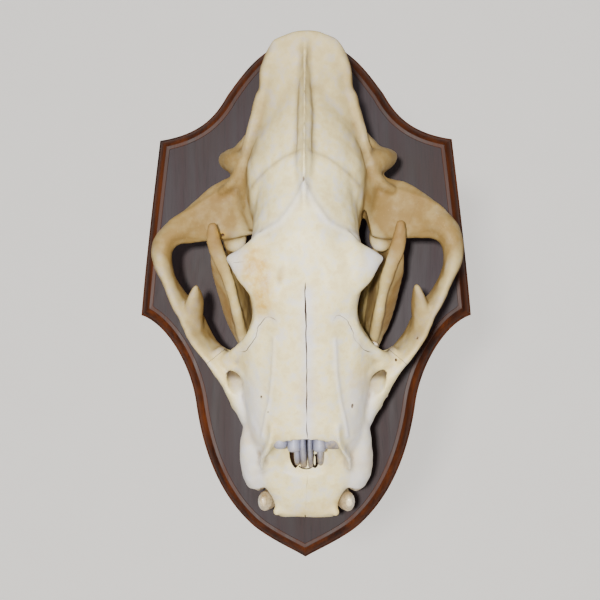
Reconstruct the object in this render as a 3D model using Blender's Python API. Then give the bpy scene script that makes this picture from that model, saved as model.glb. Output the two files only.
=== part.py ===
"""A lion skull on a wooden wall shield, life size, in metres with +Z up.

The shield hangs on a wall in the XZ plane: its back face lies at Y = 0 and its front faces -Y. The skull
hangs on it nose down with its jaws closed, crown outwards. Every bone is shaped as if the skull lay on a
table: x to the left of the animal, y from the front teeth to the nape, z up from the board. The function
hang then warps that table shape a little, as real skulls are, and stands it up against the board.
Sizes are written in millimetres.
"""

import math

import bmesh
import bpy
import numpy as np
from mathutils import Matrix, Vector

MM = 0.001

# Driving sizes of the board
BOARD_THICKNESS = 20.0
BOARD_EDGE = 7.0
BEVEL_WIDTH = 13.0
BOARD_TOP = 229.0
CORNER = (128.6, 139.0)
SIDE_POINT = (144.6, -15.5)
WAIST = (96.0, -92.0)
BOARD_TIP = -226.0

# Driving sizes of the skull
PROSTHION_Z = -180.5
SKULL_X = 5.3
NOSE_LEAN = 1.6
ARCH_SWAY = 4.5
SEAM = 0.3
TOOTH_LINE = 75.0
LOWER_TOOTH_LINE = 51.0

# How fine the bone surfaces are
VOXEL = 2.4
CRANIUM_SHARE = 0.078
MANDIBLE_SHARE = 0.045

# Braincase, forehead and snout in one: y, half width, low, widest and top height, upper and lower power
SKULL_STATIONS = (
    (0.3, 22.5, 73, 77.5, 81.5, 2.8, 2.4),
    (3.5, 24.5, 73, 79, 86, 2.6, 2.2),
    (8, 25, 73.5, 80.5, 89, 2.5, 2.2),
    (14, 26.2, 74, 82, 92, 2.4, 2.2),
    (20, 29.8, 74.5, 84, 95, 2.4, 2.2),
    (28, 35, 75, 86, 98, 2.5, 2.2),
    (38, 40, 76, 88, 102, 2.6, 2.2),
    (48, 44, 78, 90, 109, 2.3, 2.2),
    (57, 46, 79, 92, 124, 2.1, 2.2),
    (66, 47.5, 80, 93, 139, 2.2, 2.2),
    (76, 48.5, 80, 94, 143.5, 2.3, 2.2),
    (92, 49.5, 81, 97, 148.5, 2.3, 2.3),
    (108, 51.5, 82, 100, 154, 2.3, 2.3),
    (122, 54, 84, 106, 159, 2.2, 2.3),
    (133, 56, 86, 112, 163, 2.1, 2.3),
    (142, 49.5, 90, 124, 166, 2.2, 2.3),
    (152, 43, 92, 138, 170, 2.5, 2.0),
    (164, 39.5, 92, 150, 174, 2.9, 1.7),
    (176, 41.5, 92, 156, 177, 3.0, 1.6),
    (188, 45, 92, 158, 179.5, 2.8, 1.6),
    (200, 46.5, 92, 154, 181, 2.5, 1.7),
    (212, 43.5, 92, 144, 181, 2.2, 1.9),
    (226, 41, 91, 134, 180, 2.0, 2.1),
    (244, 41, 91, 126, 176, 1.9, 2.3),
    (262, 43.5, 91, 120, 170, 1.8, 2.4),
    (280, 47.5, 91, 116, 164, 1.8, 2.5),
    (298, 47, 91, 115, 159, 1.7, 2.5),
    (314, 41.5, 93, 119, 156, 1.6, 2.3),
    (328, 37, 100, 126, 154.5, 1.5, 2.2),
    (342, 35.5, 113, 132, 153.5, 1.6, 2.1),
    (354, 34, 125, 138, 152.5, 1.7, 2.0),
    (364, 30.5, 134, 143, 153, 1.8, 2.0),
    (371, 25.5, 140, 147, 154, 1.9, 2.0),
    (375, 19, 144, 149.5, 154.5, 2.0, 2.0),
    (377.3, 9, 148, 151, 154, 2.0, 2.0),
)

# Upper jaw and palate below the snout and the eyes, in the same columns
PALATE_STATIONS = (
    (30, 34, 74, 86, 96, 2.4, 3.0),
    (52, 41, 75, 88, 100, 2.4, 3.2),
    (76, 45, 75, 89, 102, 2.4, 3.2),
    (98, 52, 75, 91, 106, 2.4, 3.2),
    (116, 58, 75.5, 92, 110, 2.4, 3.0),
    (130, 57, 77, 95, 112, 2.2, 2.6),
    (142, 50, 80, 97, 111, 2.2, 2.3),
    (153, 37, 83, 97, 108, 2.0, 2.0),
    (172, 24, 86, 95, 106, 2.0, 2.2),
    (196, 22, 88, 96, 108, 2.0, 2.2),
    (214, 24, 89, 98, 110, 2.0, 2.2),
)

# Cheek arch of one side: x, y, z, half thickness across, half depth, lean of the plate in degrees
ARCH_STATIONS = (
    (41, 76, 96, 9, 16, -8),
    (49, 92, 97, 9.3, 18, -12),
    (56, 107, 99, 9, 18.5, -17),
    (65, 120.5, 101, 7.6, 19, -20),
    (73.5, 130.5, 103, 5.6, 19.5, -20),
    (81.5, 140.5, 104, 5.2, 20, -20),
    (87, 150.5, 105, 5.2, 20, -21),
    (92, 161, 107, 5.2, 19.5, -20),
    (101, 174.5, 110, 5.4, 17, -14),
    (108.5, 189, 112, 5.4, 13.5, -8),
    (113.5, 201, 112, 7.2, 13, -3),
    (115, 211, 111, 8.2, 12.5, 0),
    (113, 221, 110, 9.3, 12, 4),
    (105, 229.5, 108, 11, 11.5, 7),
    (94, 235, 105, 15, 10, 8),
    (81, 240, 102, 20, 9, 5),
    (67, 245, 101, 24, 8.5, 0),
    (52, 249, 103, 25, 10, 0),
    (38, 252, 106, 25, 13, 0),
)

# Ridge where the temple muscles met: y, half thickness, low and top height
CREST_STATIONS = (
    (238, 5.0, 160, 178.5),
    (254, 3.2, 155, 179.2),
    (280, 2.6, 150, 176.5),
    (310, 2.6, 146, 171.0),
    (336, 3.0, 144, 165.5),
    (356, 3.2, 144, 160.0),
    (368, 4.5, 144, 156.5),
    (373, 6.0, 148, 154.5),
)

# Half thickness of the crest's foot
CREST_FOOT = 7.5

# Body of one lower jaw: x, y, z, half thickness, half depth, lean
JAW_STATIONS = (
    (7, 11, 41, 7, 9, 0),
    (10, 18, 37, 10.5, 15, 0),
    (14, 32, 31, 13, 21, 0),
    (20, 50, 27.5, 11.5, 23.5, 0),
    (27, 72, 26, 10, 25, 0),
    (34, 96, 25.5, 9.5, 26, 2),
    (40, 120, 26, 9.5, 26.5, 4),
    (45, 144, 27, 9.5, 27, 6),
    (49, 166, 29, 8.5, 27, 8),
    (53, 190, 32, 7.5, 25, 8),
    (57, 212, 35, 6.5, 21, 8),
    (62, 232, 38, 5.5, 15, 8),
    (65, 247, 40, 5, 9, 8),
    (66, 255, 40, 4.5, 6, 8),
)

# Rising blade behind the lower teeth: y, x and z of its foot, x and z of its edge, half thickness
BLADE_STATIONS = (
    (136, 46, 34, 50.5, 62, 5.0),
    (142, 46, 33, 52.5, 73, 5.2),
    (158, 47, 31, 55.5, 87, 5.2),
    (174, 49, 30, 58.0, 98, 4.8),
    (188, 52, 30, 61.0, 107, 4.4),
    (199, 55, 30, 64.0, 112, 4.0),
    (206, 57, 30, 65.5, 104, 3.8),
    (213, 59, 31, 65.5, 89, 3.6),
    (226, 61, 31, 65.5, 80, 3.8),
    (240, 64, 34, 67, 79, 4.0),
    (248, 65, 38, 67, 78, 4.4),
    (255, 66, 46, 67, 72, 4.0),
)

# Jaw joint: a crosswise roller under the root of the arch
CONDYLE = (67.5, 251.0, 80.5)
CONDYLE_RADIUS = 8.4
CONDYLE_HALF_LENGTH = 20.0

# Teeth that are single cones: x, y and height of stations along the tooth, with half widths in x and y
UPPER_CANINE = (
    (37.4, 40.5, 90, 5.6, 7.5),
    (38.2, 36.6, 84, 7.6, 10.2),
    (38.6, 34.0, 77, 8.6, 11.4),
    (39.6, 29.5, 64, 7.9, 10.2),
    (40.0, 27.0, 48, 6.2, 7.6),
    (39.6, 27.0, 34, 3.9, 4.6),
    (39.0, 28.5, 24, 1.6, 1.9),
)
LOWER_CANINE = (
    (20.0, 28.0, 34, 8.0, 10.5),
    (24.6, 20.5, 50, 7.6, 10.4),
    (28.6, 15.2, 62, 6.8, 8.8),
    (31.8, 12.8, 72, 6.0, 8.2),
    (33.6, 12.8, 80, 5.6, 8.0),
    (34.2, 13.0, 86, 4.6, 6.6),
    (34.6, 13.2, 89.5, 2.4, 3.4),
)
UPPER_INCISORS = ((4.1, 5.5, 11.0, 3.3), (11.0, 7.0, 12.5, 3.5), (18.3, 10.5, 17.0, 4.2))
LOWER_INCISORS = ((3.2, 15.0, 10.0, 2.3), (8.1, 16.2, 10.5, 2.6), (13.4, 18.6, 11.5, 2.9))

# Cheek teeth: x, y, turn in degrees, half width, then one (place along, height, half length) per cusp
UPPER_CHEEK = (
    (40.5, 59.0, 4, 3.2, ((0, 6, 4.2),)),
    (43.0, 78.5, 14, 5.2, ((-9, 6, 4.5), (-1, 17, 8.5), (9, 8, 4.8))),
    (54.2, 113.0, 22, 6.0, ((-15, 10, 5.5), (-4, 21, 9.0), (11, 15, 9.5))),
    (53.0, 139.0, 70, 3.4, ((0, 4.5, 5.0),)),
)
LOWER_CHEEK = (
    (29.5, 66.5, 12, 4.0, ((-5, 5, 3.4), (0, 12, 6.0), (6.5, 6, 3.6))),
    (34.4, 90.0, 13, 4.7, ((-9, 7, 4.2), (-0.5, 16, 8.0), (9, 8, 4.4))),
    (40.3, 117.0, 14, 5.0, ((-7.5, 16, 8.0), (7.5, 18, 8.2))),
)


def clear_scene():
    """Start from nothing."""
    for thing in list(bpy.data.objects):
        bpy.data.objects.remove(thing, do_unlink=True)


def material(name, colour, roughness):
    """A plain surface of one colour."""
    surface = bpy.data.materials.new(name)
    surface.use_nodes = True
    shader = surface.node_tree.nodes["Principled BSDF"]
    shader.inputs["Base Color"].default_value = (*colour, 1.0)
    shader.inputs["Roughness"].default_value = roughness
    return surface


def blend(rows, places):
    """Columns of a table at places between its rows, smooth and without overshoot."""
    rows = np.array(rows, dtype=float)
    knots = rows[:, 0]
    values = rows[:, 1:]
    gap = np.diff(knots)[:, None]
    slope = np.diff(values, axis=0) / gap
    product = slope[:-1] * slope[1:]
    total = np.where(product > 0, slope[:-1] + slope[1:], 1.0)
    inner = np.where(product > 0, 2.0 * product / total, 0.0)
    tangent = np.vstack([slope[:1], inner, slope[-1:]])
    index = np.clip(np.searchsorted(knots, places, side="right") - 1, 0, len(knots) - 2)
    width = gap[index]
    t = (np.asarray(places)[:, None] - knots[index][:, None]) / width
    return (
        values[index] * (1 + 2 * t) * (1 - t) ** 2
        + tangent[index] * width * t * (1 - t) ** 2
        + values[index + 1] * t * t * (3 - 2 * t)
        - tangent[index + 1] * width * t * t * (1 - t)
    )


def skin(rings):
    """Close a stack of equal rings of points into a body: its points and faces."""
    count, around = rings.shape[:2]
    points = np.vstack([rings.reshape(-1, 3), rings[0].mean(axis=0), rings[-1].mean(axis=0)])
    faces = []
    for ring in range(count - 1):
        for k in range(around):
            a = ring * around + k
            b = ring * around + (k + 1) % around
            faces.append((a, b, b + around, a + around))
    last = (count - 1) * around
    for k in range(around):
        faces.append((count * around, (k + 1) % around, k))
        faces.append((count * around + 1, last + k, last + (k + 1) % around))
    return points, faces


def loft(stations, rings=70, around=44):
    """Body along y with flattened oval sections, the same left and right."""
    places = np.linspace(stations[0][0], stations[-1][0], rings)
    table = blend(stations, places)
    angle = np.arange(around) * 2 * math.pi / around
    cosine = np.cos(angle)[None, :]
    sine = np.sin(angle)[None, :]
    half, low, wide, top, upper, lower = (table[:, k : k + 1] for k in range(6))
    power = np.where(sine > 0, upper, lower)
    reach = np.where(sine > 0, top - wide, wide - low)
    x = half * np.sign(cosine) * np.abs(cosine) ** (2 / power)
    z = wide + reach * np.sign(sine) * np.abs(sine) ** (2 / power)
    y = np.repeat(places[:, None], around, axis=1)
    return skin(np.stack([x, y, z], axis=2))


def along_path(stations, rings):
    """A station table whose first columns are x, y, z, sampled evenly along its path."""
    rows = np.array(stations, dtype=float)
    steps = np.linalg.norm(np.diff(rows[:, :3], axis=0), axis=1)
    length = np.concatenate([[0.0], np.cumsum(steps)])
    return blend(np.column_stack([length, rows]), np.linspace(0, length[-1], rings))


def tube(stations, rings=40, around=20, along=None):
    """Body along a path of (x, y, z, half thickness, half depth, lean in degrees)."""
    table = along_path(stations, rings)
    centre = table[:, :3]
    run = np.gradient(centre, axis=0) if along is None else np.repeat([along], rings, axis=0)
    run = run / np.linalg.norm(run, axis=1)[:, None]
    side = np.cross(run, (0, 0, 1))
    side = side / np.linalg.norm(side, axis=1)[:, None]
    deep = np.cross(side, run)
    lean = np.radians(table[:, 5])[:, None]
    across = side * np.cos(lean) + deep * np.sin(lean)
    deep = deep * np.cos(lean) - side * np.sin(lean)
    angle = np.arange(around) * 2 * math.pi / around
    ring = (
        across[:, None] * table[:, 3, None, None] * np.cos(angle)[None, :, None]
        + deep[:, None] * table[:, 4, None, None] * np.sin(angle)[None, :, None]
    )
    return skin(centre[:, None] + ring)


def ball(centre, radii, turn=(0, 0, 0), detail=3):
    """Egg shape with three half sizes, turned by three angles in degrees."""
    mesh = bmesh.new()
    bmesh.ops.create_icosphere(mesh, subdivisions=detail, radius=1.0)
    spin = Matrix.Identity(3)
    for axis, degrees in zip("XYZ", turn):
        spin = Matrix.Rotation(math.radians(degrees), 3, axis) @ spin
    points = np.array([spin @ Vector(v.co[k] * radii[k] for k in range(3)) for v in mesh.verts])
    faces = [tuple(v.index for v in face.verts) for face in mesh.faces]
    mesh.free()
    return points + np.array(centre), faces


def mirrored(part):
    """The same body on the other side of the skull."""
    points, faces = part
    return points * np.array([-1.0, 1.0, 1.0]), [face[::-1] for face in faces]


def both(parts):
    """Bodies with their mirror images."""
    return list(parts) + [mirrored(part) for part in parts]


def facing(parts, side):
    """Bodies for one side of the skull: 1 for the animal's left, -1 for its right."""
    return list(parts) if side > 0 else [mirrored(part) for part in parts]


def build(name, parts):
    """One object in the scene from several bodies, at the size of metres."""
    points = []
    faces = []
    offset = 0
    for part_points, part_faces in parts:
        points.append(np.asarray(part_points) * MM)
        faces.extend(tuple(index + offset for index in face) for face in part_faces)
        offset += len(part_points)
    mesh = bpy.data.meshes.new(name)
    mesh.from_pydata(np.vstack(points).tolist(), [], faces)
    shape = bmesh.new()
    shape.from_mesh(mesh)
    bmesh.ops.recalc_face_normals(shape, faces=shape.faces[:])
    shape.to_mesh(mesh)
    shape.free()
    thing = bpy.data.objects.new(name, mesh)
    bpy.context.scene.collection.objects.link(thing)
    return thing


def discard(thing):
    """Take an object out of the scene."""
    bpy.data.objects.remove(thing, do_unlink=True)


def settle(thing):
    """Turn an object's modifiers into its own mesh."""
    graph = bpy.context.evaluated_depsgraph_get()
    mesh = bpy.data.meshes.new_from_object(thing.evaluated_get(graph))
    thing.modifiers.clear()
    thing.data = mesh


def merge_surface(thing, voxel, smoothing, rounds):
    """Melt overlapping bodies into one surface and soften it."""
    remesh = thing.modifiers.new("melt", "REMESH")
    remesh.mode = "VOXEL"
    remesh.voxel_size = voxel * MM
    soften = thing.modifiers.new("soften", "SMOOTH")
    soften.factor = smoothing
    soften.iterations = rounds
    settle(thing)


def thin_out(thing, share):
    """Fewer, larger triangles."""
    decimate = thing.modifiers.new("thin", "DECIMATE")
    decimate.ratio = share
    settle(thing)


def combine(thing, others, operation):
    """Join or cut an object with several closed ones, which are then removed."""
    group = bpy.data.collections.new("operands")
    bpy.context.scene.collection.children.link(group)
    for other in others:
        for home in list(other.users_collection):
            home.objects.unlink(other)
        group.objects.link(other)
        other.hide_render = True
        other.display_type = "WIRE"
    boolean = thing.modifiers.new("combine", "BOOLEAN")
    boolean.operation = operation
    boolean.operand_type = "COLLECTION"
    boolean.collection = group
    boolean.solver = "MANIFOLD"
    settle(thing)
    for other in list(others):
        discard(other)
    bpy.data.collections.remove(group)


def islands(mesh):
    """Groups of connected faces in a bmesh, largest first."""
    seen = set()
    groups = []
    for first in mesh.faces:
        if first in seen:
            continue
        seen.add(first)
        stack = [first]
        group = []
        while stack:
            face = stack.pop()
            group.append(face)
            for edge in face.edges:
                for other in edge.link_faces:
                    if other not in seen:
                        seen.add(other)
                        stack.append(other)
        groups.append(group)
    return sorted(groups, key=len, reverse=True)


def keep_pieces(thing, wanted):
    """Keep the numbered pieces of an object, counted from the largest."""
    mesh = bmesh.new()
    mesh.from_mesh(thing.data)
    spare = [face for number, group in enumerate(islands(mesh)) if number not in wanted for face in group]
    bmesh.ops.delete(mesh, geom=spare, context="FACES")
    loose = [vert for vert in mesh.verts if not vert.link_faces]
    bmesh.ops.delete(mesh, geom=loose, context="VERTS")
    mesh.to_mesh(thing.data)
    mesh.free()


def block(low, high):
    """Plain box between two corners."""
    x0, y0, z0 = low
    x1, y1, z1 = high
    points = np.array([(x, y, z) for x in (x0, x1) for y in (y0, y1) for z in (z0, z1)], dtype=float)
    faces = [(0, 1, 3, 2), (4, 6, 7, 5), (0, 4, 5, 1), (2, 3, 7, 6), (0, 2, 6, 4), (1, 5, 7, 3)]
    return points, faces


def turned(part, centre, degrees):
    """Turn a body about the upright axis and move it to a place."""
    points, faces = part
    angle = math.radians(degrees)
    spin = np.array([[math.cos(angle), math.sin(angle), 0], [-math.sin(angle), math.cos(angle), 0], [0, 0, 1]])
    return points @ spin + np.array(centre), faces


def roller(radius, half_length, around=14):
    """Round bar lying along x at the jaw joint, its ends domed."""
    cx, cy, cz = CONDYLE
    grow = radius - CONDYLE_RADIUS
    half_shape = ((0.5, 1.0), (0.78, 0.93), (0.93, 0.75), (1.0, 0.45))
    shape = [(-place, size) for place, size in reversed(half_shape)] + list(half_shape)
    angle = np.arange(around) * 2 * math.pi / around
    rings = []
    for place, size in shape:
        reach = CONDYLE_RADIUS * size + grow
        x = np.full(around, cx + place * (half_length + grow))
        rings.append(np.column_stack([x, cy + reach * np.cos(angle), cz + reach * np.sin(angle)]))
    return skin(np.array(rings))


def cone(stations, around=12, rings=7):
    """Tapering tooth through (x, y, z, half width in x, half width in y)."""
    table = along_path(stations, rings)
    angle = np.arange(around) * 2 * math.pi / around
    x = table[:, 0:1] + table[:, 3:4] * np.cos(angle)[None]
    y = table[:, 1:2] + table[:, 4:5] * np.sin(angle)[None]
    z = np.repeat(table[:, 2:3], around, axis=1)
    return skin(np.stack([x, y, z], axis=2))


def incisor(x, y, crown, half, gum, direction, around=8):
    """Small chisel tooth growing from the gum line, up or down."""
    lean = -0.22 * direction
    heights = ((-9, 0.8, 1.2), (0, 0.95, 1.3), (0.45, 1.0, 1.15), (0.8, 0.85, 0.8), (1.0, 0.45, 0.4))
    stations = []
    for place, width, depth in heights:
        rise = place if place < 0 else place * crown
        stations.append((x, y - abs(lean) * rise, gum + direction * rise, half * width, half * depth))
    return cone(stations, around=around, rings=5)


def cheek_tooth(x, y, turn, half, cusps, gum, direction, around=8):
    """Blade tooth: one flattened cone for each cusp, set along a line."""
    parts = []
    longest = max(abs(place) + reach for place, height, reach in cusps)
    parts.append(cone(((0, 0, -8, half * 0.75, longest * 0.8), (0, 0, 1, half, longest * 0.97),
                       (0, 0, 4, half * 0.7, longest * 0.8)), around=around, rings=3))
    for place, height, reach in cusps:
        shape = ((-6, 0.7, 0.8), (0, 1.0, 1.0), (0.35, 0.86, 0.86), (0.75, 0.45, 0.5), (1.0, 0.12, 0.16))
        rows = [(0, place, (h if h < 0 else h * height), half * a, reach * b) for h, a, b in shape]
        parts.append(cone(rows, around=around, rings=5))
    placed = []
    for points, faces in parts:
        points = points * np.array([1, 1, direction])
        placed.append(turned((points, faces), (x, y, gum), turn))
    return placed


def upper_teeth():
    """Teeth of one side of the upper jaw, as separate closed bodies."""
    parts = [cone(UPPER_CANINE)]
    for x, y, crown, half in UPPER_INCISORS:
        parts.append(incisor(x, y, crown, half, TOOTH_LINE + 1, -1))
    for x, y, turn, half, cusps in UPPER_CHEEK:
        parts.extend(cheek_tooth(x, y, turn, half, cusps, TOOTH_LINE + 1, -1))
    return parts


def lower_teeth():
    """Teeth of one side of the lower jaw."""
    parts = [cone(LOWER_CANINE)]
    for x, y, crown, half in LOWER_INCISORS:
        parts.append(incisor(x, y, crown, half, LOWER_TOOTH_LINE + 1, 1))
    for x, y, turn, half, cusps in LOWER_CHEEK:
        parts.extend(cheek_tooth(x, y, turn, half, cusps, LOWER_TOOTH_LINE, 1))
    return parts


def skull_bodies():
    """Overlapping bodies that make up the skull without the lower jaws and the teeth."""
    crest = [(0, y, (low + top) / 2, half, (top - low) / 2, 0) for y, half, low, top in CREST_STATIONS]
    foot = [(0, y, z - 2, CREST_FOOT * (depth - 2) / 13, depth - 2, 0) for _, y, z, _, depth, _ in crest]
    one_side = (
        tube(ARCH_STATIONS, rings=60),
        # brow horn over the eye and cheek horn below it
        tube(((24, 198, 165, 25, 12, 0), (36, 198.5, 165, 24, 11, 0), (43, 199.5, 164, 18, 9.5, 0),
              (49, 201, 162.5, 11.5, 7.5, 0),
              (54.5, 202.5, 160.5, 5.5, 5, 0), (59, 203.7, 158.5, 1.8, 1.8, 0))),
        tube(((86, 151, 105, 5, 9, -18), (89, 161, 112, 7, 11, -18), (88, 171, 119, 5.8, 10, -18),
              (86.3, 179, 126.5, 3.4, 6.5, -18), (85, 184.5, 131, 1.5, 2.5, -18))),
        # swelling over the root of the fang
        tube(((38, 27, 80, 9.5, 9, 0), (41, 38, 86, 11, 12, 0), (42.5, 54, 96, 10.5, 12, 0),
              (42, 72, 106, 8, 10, 0),
              (39, 88, 114, 5, 6, 0))),
        # rim of the nose opening
        tube(((34.4, 41, 98, 1.8, 4, 0), (34.2, 46, 103, 2.1, 7, 0), (32.6, 51.5, 109, 2.3, 8, 0),
              (28.5, 59, 119, 2.4, 9, 0), (25.5, 68, 129, 2.6, 9, 0),
              (24.5, 80, 135, 3, 8, 0))),
        # bone over the sockets of the front teeth
        tube(((4, 4.4, 80, 3.6, 5.5, 0), (13, 4.6, 80.5, 3.8, 6, 0), (22, 6.2, 82, 3.4, 5, 0)), rings=16),
        ball((23.6, 4.8, 85), (3.4, 3.6, 4.5)),
        # front rim of the eye socket
        tube(((62, 126.5, 112, 6, 9, -20), (56, 130, 121, 5, 7, -30), (47, 137.5, 134, 4.5, 6, -35),
              (39, 147.5, 149, 4, 5, -35), (35, 157, 159, 3, 4, -30))),
        # saddle between the cheek and the snout, bone over the cheek canal and the swelling in front of it
        tube(((44, 128, 112, 8, 14, 0), (54, 127, 106, 7.5, 15, 0), (64, 127.5, 103, 7.5, 16, 0),
              (72, 134, 103, 6, 15, 0))),
        tube(((44, 118, 124, 7, 8, 0), (52, 122, 117, 6.5, 7, 0), (60, 124, 113.5, 6, 7, 0),
              (66, 126, 110, 5, 7, 0))),
        ball((54.5, 95, 97), (6.5, 11, 10)),
        # shelf in front of the jaw joint and the fillet where the arch meets the braincase
        ball((59, 225, 92), (10.5, 13, 6.5)),
        tube(((36, 228, 116, 6, 16, 42), (40, 244, 117, 8, 20, 42), (42, 262, 118, 8.5, 21, 42),
              (42, 282, 118, 8.5, 21, 42), (38, 300, 117, 7, 17, 42)), along=(0, 1, 0)),
        # ridge from the back of the arch up the side of the braincase
        tube(((68, 259, 108, 4, 4, 0), (60, 264, 114, 4, 5, 0), (54, 272, 118, 4, 6, 0),
              (49.5, 284, 122, 4, 7, 0), (44.5, 300, 124, 4, 8, 0), (39.5, 317, 126, 4, 8, 0),
              (35, 334, 131, 4, 8, 0))),
        # side wall of the braincase and the bone behind the ear
        ball((26, 266, 118), (22, 52, 32), (0, 0, -3)),
        tube(((42, 279, 115, 12, 17, 0), (50, 282, 108, 12, 16, 0), (58, 285, 98, 10, 13, 0),
              (63.5, 287, 88, 6.5, 9, 0), (64, 288, 80, 3, 4, 0))),
        tube(((10, 371, 146, 4, 6, 0), (20, 367, 143, 4, 7, 0), (28, 358, 140, 4, 8, 0),
              (32, 347, 135, 4, 8, 0),
              (33, 333, 129, 4, 8, 0), (35, 320, 122, 4, 8, 0), (41, 306, 113, 5, 9, 0),
              (53, 293, 99, 6, 10, 0))),
        # ear capsule, hinge lip, spur by the joint and the knuckle of the neck
        ball((29, 298, 84), (15, 22, 14), (0, 0, 14)),
        tube(((48, 264, 93, 6, 8, 0), (60, 263, 86, 4.5, 9, 0), (75, 260, 88, 3, 7, 0))),
        tube(((38, 312, 104, 6, 10, 0), (38, 317, 90, 4.5, 7, 0), (37, 320, 77, 2.5, 3, 0))),
        ball((17, 334, 96), (12, 12, 14), (0, 0, -20)),
        tube(((9, 290, 98, 14, 10, 0), (12, 318, 98, 13, 11, 0), (14, 334, 97, 11, 11, 0))),
        # wing beside the throat passage
        tube(((21, 150, 88, 4, 7, 0), (20, 176, 88, 3.2, 10, 0), (19, 200, 86, 3, 10, 0),
              (20, 214, 80, 2.5, 6, 0))),
    )
    middle = (loft(SKULL_STATIONS), loft(PALATE_STATIONS), tube(crest, along=(0, 1, 0)),
              tube(foot, along=(0, 1, 0)))
    return both(one_side) + list(middle)


def skull_hollows():
    """Bodies taken out of the skull: nose opening, cheek canals, throat passage and neck opening."""
    one_side = (
        # canal below the eye socket
        tube(((54.5, 102, 118, 5, 4.6, 0), (55.4, 109, 115, 6.2, 6.2, 0), (56, 115, 112, 6.2, 6.6, 0),
              (57.5, 124, 107, 5, 5.6, 0), (59, 142, 102.5, 4.2, 4.6, 0))),
    )
    middle = (
        # gaps between the braincase and the shelves of the jaw joints
        tube(((45.5, 208, 104, 5, 16, 0), (45.5, 224, 106, 5, 18, 0), (45, 236, 110, 3, 18, 0),
              (44, 247, 114, 1.2, 10, 0)), along=(0, 1, 0)),
        tube(((-45.5, 208, 104, 5, 16, 0), (-45.5, 218, 106, 5, 18, 0), (-44, 226, 112, 1.2, 12, 0)),
             along=(0, 1, 0)),
        tube(((0, 20, 112, 14, 8, 0), (0, 30, 111.5, 24, 11, 0), (0, 38, 112.5, 29, 13.6, 0),
              (0, 44, 113.5, 31.5, 16, 0),
              (0, 51, 116, 30, 18.5, 0), (0, 58, 117.5, 26, 20, 0),
              (0, 65, 118, 23.5, 20, 0), (0, 76, 118, 22.5, 19.5, 0), (0, 96, 118, 18, 16, 0)),
             along=(0, 1, 0)),
        tube(((0, 163, 87, 13, 8, 0), (0, 190, 84, 15, 12, 0), (0, 222, 80, 16, 12, 0)), along=(0, 1, 0)),
        tube(((0, 316, 106, 10, 8, 0), (0, 345, 103, 14, 12, 0),
              (0, 360, 100, 16, 14, 0)), along=(0, 1, 0)),
        ball((0, 92, 68), (34, 70, 15)),
    )
    return both(one_side) + list(middle)


def nose_filling():
    """Partition and the rolled bones that show in the nose opening."""
    one_side = (
        tube(((6.5, 58, 118, 5, 18, 0), (7.5, 64, 121, 5.5, 19, 0),
              (8, 84, 120, 6, 20, 0)), rings=10, around=12),
        tube(((19, 60, 122, 6, 10, 0), (19, 66, 123, 6.5, 12, 0),
              (18, 86, 120, 6, 18, 0)), rings=10, around=12),
    )
    wall = tube(((1.5, 44, 100, 1.8, 5, 0), (1.5, 52, 108, 2.4, 12, 0), (1.5, 60, 115, 2.6, 18, 0),
                 (0, 96, 118, 2.5, 20, 0)), along=(0, 1, 0))
    return both(one_side) + [wall]


def jaw_bodies():
    """Overlapping bodies of one lower jaw without its teeth."""
    blade = []
    for y, x_foot, z_foot, x_edge, z_edge, half in BLADE_STATIONS:
        rise = z_edge - z_foot
        lean = -math.degrees(math.atan2(x_edge - x_foot, rise))
        size = math.hypot(x_edge - x_foot, rise) / 2
        blade.append(((x_foot + x_edge) / 2, y, (z_foot + z_edge) / 2, half, size, lean))
    return (
        tube(JAW_STATIONS, rings=60),
        tube(blade, rings=60, along=(0, 1, 0)),
        # thick front edge of the blade, its hooked tip and the flange beside it
        tube(((49, 132, 56, 4, 5, 0), (52.5, 142, 71, 4.5, 5, 0), (55.5, 157, 85, 4.5, 5, 0),
              (58.5, 173, 97, 4.5, 4.5, 0),
              (62, 188, 107.5, 4.8, 4.5, 0), (66, 201, 115.5, 5.5, 4.5, 0),
              (70.5, 213, 120.5, 6.4, 4.5, 0),
              (72.3, 222, 125, 5.6, 4, 0), (73, 229, 127.5, 4.6, 3.4, 0), (73, 234, 128.5, 3, 2.4, 0))),
        tube(((54, 136, 58, 2.6, 6, 18), (56, 142, 65, 2.8, 8, 20), (61.5, 158, 76, 2.8, 11.6, 28),
              (65, 174, 86, 2.8, 12.2, 33),
              (68.2, 188, 96.5, 2.8, 11, 38), (71.2, 201, 107.5, 2.8, 8.2, 47),
              (72.5, 211, 114, 3, 5, 50)), along=(0, 1, 0)),
        # socket of the fang, chin and neck of the joint
        tube(((25, 20, 47, 8, 9, 0), (21, 30, 39, 10, 13, 0), (18, 44, 29, 9, 14, 0))),
        tube(((7, 16, 30, 7, 16, 0), (9, 34, 20, 8, 15, 0), (11, 52, 15, 5, 9, 0))),
        tube(((62, 228, 58, 5, 12, 0), (65, 239, 68, 5.5, 9, 0), (67, 249, 77, 8, 6, 0))),
        roller(CONDYLE_RADIUS - 1.4, CONDYLE_HALF_LENGTH - 2),
        # spur at the corner of the jaw
        tube(((63, 240, 40, 5, 9, 0), (66, 253, 37, 4.5, 7, 0), (67, 262, 36, 3, 4, 0))),
    )


def hang(thing):
    """Warp a table shape slightly and stand it up against the board."""
    for vert in thing.data.vertices:
        x, y, z = vert.co / MM
        side = min(max((abs(x) - 60) / 40, 0.0), 1.0)
        back = min(max((y - 200) / 45, 0.0), 1.0)
        y += math.copysign(ARCH_SWAY, x) * side * side * (3 - 2 * side) * back * back * (3 - 2 * back)
        x -= NOSE_LEAN * max(0.0, 1 - y / 150)
        vert.co = Vector((SKULL_X + x, -(BOARD_THICKNESS + z), PROSTHION_Z + y)) * MM


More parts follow.
